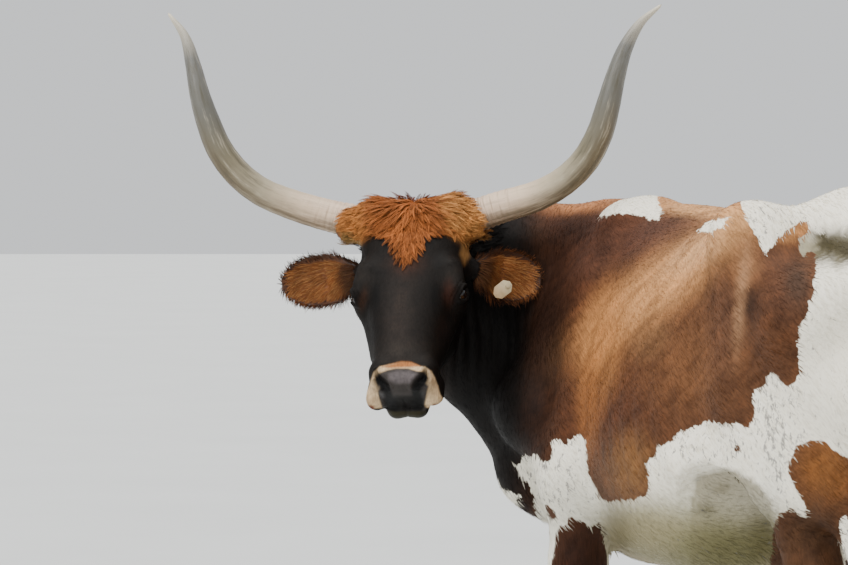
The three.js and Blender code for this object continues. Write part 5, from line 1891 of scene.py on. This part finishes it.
def growPollHair():
    spacing = np.full(len(skinPoints), pollHair["spacing"], float)
    chosen = scatter(skinSurface, spacing, pollShare(skinPoints))
    roots, normals = rootsOf(chosen), unit(carried(skinSurface[1], chosen))
    down, _, across = faceDepths(roots["place"])
    count = len(down)
    # The hair parts along the middle, fans out to the horns and stands up along the crown
    fan = np.clip(across / pollHair["fan"], -1.25, 1.25) + rng.normal(0, 0.14, count)
    crown = eased(-down, -pollHair["crown"], pollHair["crown"])
    ways = faceDown * np.cos(fan)[:, None] * (1 - 1.1 * crown)[:, None]
    ways = ways + faceAcross * np.sin(fan)[:, None]
    ways[:, 2] += 0.35 * crown
    lengths = pollHair["length"] * rng.uniform(0.65, 1.2, count) * (1 - 0.35 * eased(down, 20, 70))
    lengths *= 1 - 0.35 * eased(np.abs(across), 60, 100)
    paths = layPaths(roots["place"], normals, ways, lengths, pollHair["stations"], pollHair)
    strands = pollHair["strands"]
    every = lockStrands(paths, normals, strands, pollHair["spread"], pollHair["tight"])
    own = {key: np.concatenate([values] * strands) for key, values in roots.items()}
    lighter = rng.random(len(every))[:, None] ** 2
    own["coatColour"] = own["coatColour"] * mix(0.7, 1.8, lighter)
    widths = pollHair["width"] * rng.uniform(0.7, 1.2, len(every))
    normals = np.concatenate([normals] * strands)
    for number, part in enumerate(np.array_split(np.arange(len(every)), pollHair["pieces"])):
        values = {key: value[part] for key, value in own.items()}
        name = f"pollHair{number + 1}"
        makeStrands(name, every[part], normals[part], widths[part], values)
    print("Poll hair,", len(every), "strands")


earHair = {
    "inner": 30,
    "outer": 13,
    "rim": 22,
    "rimShare": 0.75,
    "tipShare": 0.9,
    "innerSpacing": 8.0,
    "outerSpacing": 13.0,
    "innerLift": 24,
    "outerLift": 12,
    "lay": -6,
    "curl": 0.2,
    "stations": 4,
    "width": (0.9, 1.7),
    "rust": "#965a32",
    "light": "#c08a55",
    "dark": "#2e1d14",
    "shade": {"left": 1.12, "right": 0.8},
}


def plainRoots(places, colours):
    count = len(places)
    return {
        "place": places, "coatColour": colours, "paleColour": colours,
        "whiteDistance": np.full(count, 40.0), "downward": np.ones(count), "roan": np.zeros(count),
    }


def growEarHair(name):
    piece = ears[name]
    surface = meshPlaces(piece)
    across, along, front = readAll(piece.data.attributes["leaf"].data, "vector", 3).T
    out, _, edge, _ = earBasis(name)
    spacing = np.where(front > 0, earHair["innerSpacing"], earHair["outerSpacing"])
    chosen = scatter(surface, spacing, np.ones(len(along)))
    places, normals = carried(surface[0], chosen), unit(carried(surface[1], chosen))
    a, t, f = (carried(v, chosen) for v in (across, along, front))
    count = len(a)
    rim = (np.abs(a) >= earHair["rimShare"]) | (t >= earHair["tipShare"])
    inner = (f > 0) & ~rim
    below = edge[2] * a < 0
    ways = np.tile(out, (count, 1)) + edge * (a * 0.9)[:, None]
    ways[inner, 2] -= 0.5
    ways[rim] = out * 0.6 + edge * a[rim, None] * 1.2
    ways[rim & below, 2] -= 1.1
    lengths = np.where(inner, earHair["inner"], np.where(rim, earHair["rim"], earHair["outer"]))
    lengths = lengths * rng.uniform(0.6, 1.2, count) * np.where(rim & below, 1.25, 1) * (1 - 0.3 * t)
    lift = np.where(inner, earHair["innerLift"], earHair["outerLift"])
    tone = rng.random(count)[:, None]
    rust, light, dark = (paint(earHair[key]) for key in ("rust", "light", "dark"))
    colours = mix(rust, light, tone**2)
    colours = np.where(rim[:, None], mix(dark, rust, tone**3), colours)
    colours = np.where((f < 0)[:, None], mix(dark, rust, 0.45 * tone), colours)
    # Painted shade deep in the ear's cup, towards its root
    deep = eased(-t, -0.34, -0.1)[:, None]
    colours = mix(colours, dark, 0.8 * deep) * earHair["shade"][name]
    paths = layPaths(places, normals, ways, lengths, earHair["stations"], {**earHair, "lift": lift})
    widths = rng.uniform(*earHair["width"], count)
    makeStrands("earHair" + name.title(), paths, normals, widths, plainRoots(places, colours))
    print("Ear hair,", count, "strands")


# The switch hangs from the last third of the tail's core
switch = {
    "strands": 1500,
    "stations": 7,
    "start": 0.55,
    "longest": 300,
    "lowest": 262,
    "spread": 22,
    "width": (2.0, 3.6),
    "wave": 4,
    "dark": "#2a1a12",
    "light": "#7a5436",
}


def growSwitch():
    line = curveThrough(tailLine, 60)
    count = switch["strands"]
    t = rng.uniform(switch["start"], 1, count) ** 0.7
    start = between([(k / 59, *p) for k, p in enumerate(line)], t)
    angle = rng.uniform(0, 2 * math.pi, count)
    away = np.column_stack([np.cos(angle), np.sin(angle), np.zeros(count)])
    girth = between(tailGirth, t)[:, 0]
    places = start + away * (girth - 1)[:, None]
    length = np.minimum(switch["longest"] * rng.uniform(0.5, 1, count), places[:, 2] - switch["lowest"])
    stations = switch["stations"]
    paths = np.empty((count, stations, 3))
    wave = rng.normal(0, 1, (count, 2))
    for k in range(stations):
        s = k / (stations - 1)
        swell = math.sin(min(1, s * 1.5) * math.pi / 2) * switch["spread"] * (1 - 0.75 * s**2)
        paths[:, k] = places + away * (swell * 0.45 * rng.uniform(0.7, 1.2, (count, 1)))
        paths[:, k, :2] += wave * switch["wave"] * math.sin(s * 5)
        paths[:, k, 2] -= length * s
    paths[:, 0] = start + away * (girth * 0.5)[:, None]
    tone = rng.random(count)[:, None]
    colours = mix(paint(switch["dark"]), paint(switch["light"]), tone**2)
    widths = rng.uniform(*switch["width"], count)
    piece = makeStrands("tailSwitch", paths, away, widths, plainRoots(places, colours))
    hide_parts("tail")
    print("Tail switch,", count, "strands")


lashes = {"count": 34, "half": 15, "length": 15, "width": 0.8, "thin": 0.8, "colour": "#0c0908"}


def growLashes():
    paths, normals = [], []
    for side in headSides.values():
        wide, tall, ahead = eyeAxes(side).T
        centre = eyeAt(side)
        row = np.linspace(-lashes["half"], lashes["half"], lashes["count"])
        for w in row + rng.normal(0, 0.3, lashes["count"]):
            height = lid["upper"] * math.sqrt(max(1 - (w / lid["half"]) ** 2, 0)) + 1
            reach = math.sqrt(max((eye["radius"] + 3) ** 2 - w * w - height * height, 1))
            start = centre + wide * w + tall * height + ahead * reach
            length = lashes["length"] * rng.uniform(0.75, 1.1)
            s = np.linspace(0, 1, 5)[:, None]
            way = unit(ahead + wide * w / 26 + tall * 0.1)
            paths.append(start + way * length * s + tall * length * (-0.55 * s + 0.75 * s**2))
            normals.append(tall)
    paths, normals = np.array(paths), np.array(normals)
    colours = np.tile(paint(lashes["colour"]), (len(paths), 1))
    widths = np.full(len(paths), lashes["width"])
    roots = plainRoots(paths[:, 0], colours)
    makeStrands("eyeLashes", paths, normals, widths, roots, lashes["thin"])


growShortCoat()
growPollHair()
for name in bodySides:
    growEarHair(name)
growSwitch()
growLashes()
print("Coat grown")


# Materials
class Wire:
    def __init__(self, tree, socket):
        self.tree, self.socket = tree, socket

    def maths(self, operation, *others):
        return node(self.tree, "ShaderNodeMath", {"operation": operation}, [self, *others])

    def __add__(self, other):
        return self.maths("ADD", other)

    def __radd__(self, other):
        return self.maths("ADD", other)

    def __sub__(self, other):
        return self.maths("SUBTRACT", other)

    def __rsub__(self, other):
        return node(self.tree, "ShaderNodeMath", {"operation": "SUBTRACT"}, [other, self])

    def __mul__(self, other):
        return self.maths("MULTIPLY", other)

    def __rmul__(self, other):
        return self.maths("MULTIPLY", other)

    def __truediv__(self, other):
        return self.maths("DIVIDE", other)

    def __pow__(self, other):
        return self.maths("POWER", other)

    def step(self, low, high):
        smoothly = {"interpolation_type": "SMOOTHSTEP"}
        return node(self.tree, "ShaderNodeMapRange", smoothly, [self, low, high, 0, 1])


# Adds a node with its settings, then the values or links of its sockets
def node(tree, kind, settings=None, sockets=(), output=0):
    made = tree.nodes.new(kind)
    for name, value in (settings or {}).items():
        if name == "stops":
            ramp = made.color_ramp
            while len(ramp.elements) < len(value):
                ramp.elements.new(0.5)
            for element, (place, colour) in zip(ramp.elements, value):
                element.position, element.color = place, (*colour, 1)
        else:
            setattr(made, name, value)
    pairs = sockets.items() if isinstance(sockets, dict) else enumerate(sockets)
    for key, value in pairs:
        if isinstance(value, Wire):
            tree.links.new(value.socket, made.inputs[key])
        elif value is not None:
            made.inputs[key].default_value = value
    return Wire(tree, made.outputs[output])


def blendColours(tree, share, first, second, kind="MIX"):
    def colour(value):
        return value if isinstance(value, Wire) else (*value, 1)

    made = tree.nodes.new("ShaderNodeMix")
    made.data_type, made.blend_type = "RGBA", kind
    for key, value in ((0, share), (6, colour(first)), (7, colour(second))):
        if isinstance(value, Wire):
            tree.links.new(value.socket, made.inputs[key])
        else:
            made.inputs[key].default_value = value
    return Wire(tree, made.outputs[2])


def readAttribute(tree, name, output=2):
    return node(tree, "ShaderNodeAttribute", {"attribute_name": name}, output=output)


def newMaterial(name, **constants):
    material = bpy.data.materials.new(name)
    material.use_nodes = True
    tree = material.node_tree
    shader = tree.nodes["Principled BSDF"]
    for key, value in constants.items():
        shader.inputs[key.replace("_", " ")].default_value = value
    return material, tree, shader


def feed(tree, shader, **wires):
    for key, wire in wires.items():
        tree.links.new(wire.socket, shader.inputs[key.replace("_", " ")])


def noise(tree, place, scale, detail=3, rough=0.55, stretch=(1, 1, 1), turn=(0, 0, 0)):
    if stretch != (1, 1, 1) or turn != (0, 0, 0):
        place = node(tree, "ShaderNodeMapping", {}, {"Vector": place, "Rotation": turn})
        place = node(tree, "ShaderNodeMapping", {}, {"Vector": place, "Scale": stretch})
    return node(tree, "ShaderNodeTexNoise", {}, {
        "Vector": place, "Scale": scale, "Detail": detail, "Roughness": rough})


def bump(tree, height, strength, distance):
    return node(tree, "ShaderNodeBump", {}, {"Strength": strength, "Distance": distance, "Height": height})


# Fur: streaks that run back along the body, or down the legs, neck and face
fur = {"slope": math.radians(38), "streak": math.radians(32), "thin": 300, "long": 26}


def furStreaks(tree, place, down, scale=1.0, detail=3):
    thin, long = fur["thin"] * scale, fur["long"] * scale
    back = noise(tree, place, 1, detail, 0.6, (long, thin, thin), (0, -fur["slope"], 0))
    fall = noise(tree, place, 1, detail, 0.6, (thin, thin, long))
    return node(tree, "ShaderNodeMix", {"data_type": "FLOAT"}, [down, None, back, fall])


def furColour(tree, place):
    down = readAttribute(tree, "downward")
    coat = readAttribute(tree, "coatColour", 1)
    pale = readAttribute(tree, "paleColour", 1)
    distance = readAttribute(tree, "whiteDistance")
    fine = furStreaks(tree, place, down)
    broad = furStreaks(tree, place, down, 0.24, 2)
    ragged = noise(tree, place, 34, 4, 0.6)
    edge = distance + (broad - 0.5) * 9 + (ragged - 0.5) * 7 + (fine - 0.5) * 4
    white = 1 - edge.step(-0.9, 0.9)
    # Dark flecks and roan hair in the white, thickest near its edge
    flecks = noise(tree, place, 115, 3, 0.65, (1, 1, 0.55))
    thick = readAttribute(tree, "roan")
    roan = (flecks + thick * 0.13 + distance.step(-30, 0) * 0.03).step(0.64, 0.74) * 0.7
    brindle = noise(tree, place, 19, 4, 0.62, (1, 1, 0.5))
    streaks = noise(tree, place, 1, 4, 0.6, (7, 44, 44), (0, fur["streak"], 0))
    toned = blendColours(tree, brindle.step(0.35, 0.75) * 0.3, coat, (0.0, 0.0, 0.0))
    toned = blendColours(tree, streaks.step(0.48, 0.68) * 0.5, toned, (0.5, 0.44, 0.4), "MULTIPLY")
    toned = blendColours(tree, (1 - streaks.step(0.34, 0.5)) * 0.6, toned, (1.3, 1.22, 1.15), "MULTIPLY")
    lit = blendColours(tree, (1 - fine.step(0.3, 0.62)) * 0.5, toned, (0.45, 0.4, 0.36), "MULTIPLY")
    lit = blendColours(tree, fine.step(0.55, 0.8) * 0.3, lit, (1.7, 1.45, 1.2), "MULTIPLY")
    palest = blendColours(tree, (1 - fine.step(0.25, 0.6)) * 0.45, pale, (0.66, 0.62, 0.54), "MULTIPLY")
    flecked = blendColours(tree, roan, palest, (0.11, 0.105, 0.11))
    colour = blendColours(tree, white, lit, flecked)
    return colour, fine, broad


def makeSkinMaterial():
    material, tree, shader = newMaterial("hide", Roughness=0.6, Specular_IOR_Level=0.12)
    place = node(tree, "ShaderNodeTexCoord", output=3)
    colour, fine, broad = furColour(tree, place)
    bare = readAttribute(tree, "bare")
    coat = readAttribute(tree, "coatColour", 1)
    pale = readAttribute(tree, "paleColour", 1)
    distance = readAttribute(tree, "whiteDistance")
    leather = blendColours(tree, 1 - distance.step(-1, 1), coat, pale)
    cells = {"Vector": place, "Scale": 420}
    pebble = node(tree, "ShaderNodeTexVoronoi", {"feature": "DISTANCE_TO_EDGE"}, cells)
    mottle = noise(tree, place, 140, 3)
    leather = blendColours(tree, mottle.step(0.4, 0.7) * 0.35, leather, (0.02, 0.018, 0.018))
    leather = blendColours(tree, (1 - pebble.step(0.0, 0.16)) * 0.4, leather, (0.01, 0.01, 0.01))
    surface = blendColours(tree, bare, colour, leather)
    height = (fine * 0.7 + broad * 0.6) * (1 - bare) + pebble.step(0, 0.25) * bare * 0.8
    roughness = 0.62 - bare * 0.3 + (mottle - 0.5) * 0.12
    feed(tree, shader, Base_Color=surface, Roughness=roughness, Normal=bump(tree, height, 0.55, 0.0016))
    return material


def makeHairMaterial():
    material, tree, shader = newMaterial("coat", Specular_IOR_Level=0.1)
    place = readAttribute(tree, "rootPlace", 1)
    tip = readAttribute(tree, "tip")
    chance = readAttribute(tree, "chance")
    shade = (1 - tip) * 0.12 + chance * 0.1
    colour, fine, _ = furColour(tree, place)
    colour = blendColours(tree, shade, colour, (0, 0, 0))
    feed(tree, shader, Base_Color=colour, Roughness=0.5 + chance * 0.12 + (fine - 0.5) * 0.1)
    return material


def makeHornMaterial():
    material, tree, shader = newMaterial("hornShell", Specular_IOR_Level=0.5)
    along = readAttribute(tree, "along")
    straight = readAttribute(tree, "straight", 1)
    place = node(tree, "ShaderNodeTexCoord", output=3)
    normal = node(tree, "ShaderNodeNewGeometry", output=1)
    facing = node(tree, "ShaderNodeSeparateXYZ", {}, [normal], output=2)
    streak = noise(tree, straight, 1, 4, 0.65, (95, 95, 9))
    fineStreak = noise(tree, straight, 1, 3, 0.6, (420, 420, 26))
    rings = noise(tree, straight, 1, 3, 0.6, (14, 14, 190))
    wander = noise(tree, place, 7, 3)
    ramp = node(tree, "ShaderNodeValToRGB", {"stops": [
        (0.0, paint("#d3b49c")), (0.2, paint("#cdb498")), (0.36, paint("#9d927a")), (0.5, paint("#726a54")),
        (0.66, paint("#5c5a52")), (0.84, paint("#63625e")), (1.0, paint("#cfc5b0")),
    ]}, [along + (wander - 0.5) * 0.12])
    # Darker on the horn's underside towards its base, in broken streaks
    under = (1 - facing.step(-0.75, 0.15)) * (1 - along.step(0.5, 0.85)) * streak.step(0.2, 0.6)
    darkerBelow = blendColours(tree, under * 0.85, ramp, paint("#4f3d22"))
    middle = along.step(0.22, 0.45) * (1 - along.step(0.8, 0.98))
    dark = blendColours(tree, streak.step(0.48, 0.72) * (0.25 + middle * 0.5), darkerBelow, paint("#4a4534"))
    light = blendColours(tree, (1 - streak.step(0.25, 0.42)) * 0.35, dark, paint("#d9cdb6"))
    line = blendColours(tree, fineStreak.step(0.55, 0.75) * 0.28, light, paint("#5b5140"))
    atBase = rings.step(0.52, 0.64) * (1 - along.step(0.05, 0.26))
    ringed = blendColours(tree, atBase * 0.65, line, paint("#7a6249"))
    height = rings * (1 - along.step(0.1, 0.4)) * 0.5 + fineStreak * 0.5 + streak * 0.4
    roughness = 0.4 + (fineStreak - 0.5) * 0.25 + under * 0.2
    feed(tree, shader, Base_Color=ringed, Roughness=roughness, Normal=bump(tree, height, 0.4, 0.0012))
    return material


def makeEyeMaterial():
    material, tree, shader = newMaterial("wetEye", Roughness=0.14, IOR=1.4, Specular_IOR_Level=0.6)
    gaze = readAttribute(tree, "gaze", 1)
    parts = [node(tree, "ShaderNodeSeparateXYZ", {}, [gaze], output=k) for k in range(3)]
    radius = (parts[0] * parts[0] + parts[1] * parts[1]) ** 0.5
    wide, tall = eyeball["pupilShape"]
    slot = ((parts[0] * wide) ** 2 + (parts[1] * tall) ** 2) ** 0.5
    fibres = noise(tree, gaze, 900, 3)
    iris = blendColours(tree, fibres.step(0.35, 0.7), paint("#0c0705"), paint("#190f09"))
    rim = blendColours(tree, radius.step(*eyeball["iris"]), iris, paint("#0b0706"))
    white = blendColours(tree, radius.step(*eyeball["rim"]), rim, paint("#2b1f19"))
    pupil = 1 - slot.step(*eyeball["pupil"])
    feed(tree, shader, Base_Color=blendColours(tree, pupil, white, (0.002, 0.002, 0.002)))
    shader.inputs["Coat Weight"].default_value = 0.35
    shader.inputs["Coat Roughness"].default_value = 0.03
    return material


def makeHoofMaterial():
    material, tree, shader = newMaterial("hoofHorn")
    place = node(tree, "ShaderNodeTexCoord", output=3)
    height = node(tree, "ShaderNodeSeparateXYZ", {}, [place], output=2)
    rings = noise(tree, place, 1, 3, 0.6, (30, 30, 420))
    streaks = noise(tree, place, 1, 3, 0.6, (190, 190, 12))
    base = blendColours(tree, streaks.step(0.4, 0.7), paint("#2b2520"), paint("#4a3f34"))
    base = blendColours(tree, rings.step(0.5, 0.66) * 0.5, base, paint("#6b5d4b"))
    dust = blendColours(tree, (1 - height.step(0.0, 0.02)) * 0.7, base, paint("#85745a"))
    feed(tree, shader, Base_Color=dust, Roughness=0.5 + (rings - 0.5) * 0.3,
         Normal=bump(tree, rings + streaks * 0.5, 0.35, 0.001))
    return material


def makeTagMaterial():
    material, tree, shader = newMaterial("tagPlastic", Specular_IOR_Level=0.45)
    plate = readAttribute(tree, "plate", 1)
    low = node(tree, "ShaderNodeSeparateXYZ", {}, [plate], output=1)
    grime = noise(tree, plate, 90, 4)
    scuffs = noise(tree, plate, 1, 3, 0.6, (700, 60, 60))
    # Painted shade, darker towards the tag's lower end
    base = blendColours(tree, (1 - low.step(-0.02, 0.018)) * 0.5, paint("#d9c9a4"), paint("#b98a55"))
    base = blendColours(tree, grime.step(0.45, 0.75) * 0.35, base, paint("#8f7048"))
    base = blendColours(tree, scuffs.step(0.62, 0.75) * 0.25, base, paint("#efe6cf"))
    feed(tree, shader, Base_Color=base, Roughness=0.42 + (grime - 0.5) * 0.3,
         Normal=bump(tree, scuffs, 0.15, 0.0005))
    return material


def makeEarMaterial():
    material, tree, shader = newMaterial("earHide", Specular_IOR_Level=0.35)
    leaf = readAttribute(tree, "leaf", 1)
    parts = [node(tree, "ShaderNodeSeparateXYZ", {}, [leaf], output=k) for k in range(3)]
    place = node(tree, "ShaderNodeTexCoord", output=3)
    rim = (parts[0].maths("ABSOLUTE").step(0.62, 0.95) + parts[1].step(0.86, 0.97)).maths("MINIMUM", 1)
    mottle = noise(tree, place, 60, 4)
    streaks = noise(tree, place, 1, 3, 0.6, (60, 60, 300))
    outside = blendColours(tree, mottle.step(0.3, 0.7), paint("#4a2b1b"), paint("#2a1a13"))
    inside = blendColours(tree, mottle.step(0.3, 0.75), paint("#84502c"), paint("#5d371f"))
    # Painted shade deep in the ear's cup, towards its root
    cupShade = blendColours(tree, 1 - parts[1].step(0.04, 0.34), inside, paint("#1d120d"))
    surface = blendColours(tree, parts[2].step(-0.2, 0.2), outside, cupShade)
    surface = blendColours(tree, rim * 0.8, surface, paint("#2c1b13"))
    surface = blendColours(tree, streaks.step(0.5, 0.7) * 0.4, surface, paint("#1a100b"))
    feed(tree, shader, Base_Color=surface, Roughness=0.6 + (mottle - 0.5) * 0.1,
         Normal=bump(tree, streaks, 0.4, 0.001))
    return material


def wear(piece, material):
    piece.data.materials.clear()
    piece.data.materials.append(material)


wear(skin, makeSkinMaterial())
hornMaterial = makeHornMaterial()
earMaterial = makeEarMaterial()
eyeMaterial = makeEyeMaterial()
hoofMaterial = makeHoofMaterial()
for name in bodySides:
    wear(horns[name], hornMaterial)
    wear(ears[name], earMaterial)
    wear(eyes[name], eyeMaterial)
for piece in hooves:
    wear(piece, hoofMaterial)
wear(earTag, makeTagMaterial())
hairMaterial = makeHairMaterial()
for piece in coatPieces:
    wear(piece, hairMaterial)
print("Materials set")


# Plain pale floor and soft studio light
studio = {
    "floor": 400,
    "floorColours": ("#d3d5d4", "#c9cbca"),
    "air": (0.9, 0.92, 0.94, 1),
    "airStrength": 0.95,
    "skyPlace": (0, 0, 4),
    "skyWay": (0.12, -0.3, 1),
    "skyWide": 75,
    "skyStrength": 3.9,
    "skyColour": (1, 0.985, 0.96),
    "sidePlace": (1.5, -5.5, 3.6),
    "sideAim": (0, 0, 0.9),
    "sideSize": 3.0,
    "sidePower": 130,
    "sideColour": (1, 0.98, 0.95),
}


def makeStudio():
    bpy.ops.mesh.primitive_plane_add(size=studio["floor"], location=(0, 0, 0))
    floor = bpy.context.object
    floor.name = "floor"
    material, tree, shader = newMaterial("paleFloor", Roughness=0.8)
    place = node(tree, "ShaderNodeTexCoord", output=3)
    soft = noise(tree, place, 1.2, 3)
    feed(tree, shader, Base_Color=blendColours(tree, soft, *map(paint, studio["floorColours"])))
    floor.data.materials.append(material)
    world = bpy.data.worlds.new("studio")
    bpy.context.scene.world = world
    world.use_nodes = True
    background = world.node_tree.nodes["Background"]
    background.inputs["Color"].default_value = studio["air"]
    background.inputs["Strength"].default_value = studio["airStrength"]


# A lamp, with the way back from what it lights
def addLight(kind, name, place, back, strength, colour):
    bpy.ops.object.light_add(type=kind, location=place)
    lamp = bpy.context.object
    lamp.name = name
    lamp.data.energy = strength
    lamp.data.color = colour
    lamp.rotation_euler = Vector(back).to_track_quat("Z", "Y").to_euler()
    return lamp.data


# Broad even light from above, as under a bright overcast sky, and a weaker lamp at the viewer's side
def addLights():
    back, strength, colour = studio["skyWay"], studio["skyStrength"], studio["skyColour"]
    sky = addLight("SUN", "skyLight", studio["skyPlace"], back, strength, colour)
    sky.angle = math.radians(studio["skyWide"])
    place, strength, colour = studio["sidePlace"], studio["sidePower"], studio["sideColour"]
    back = Vector(place) - Vector(studio["sideAim"])
    side = addLight("AREA", "sideLight", place, back, strength, colour)
    side.size = studio["sideSize"]


makeStudio()
addLights()

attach(skin, "root")
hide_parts(*fleshNodes)

print("Scene ready")
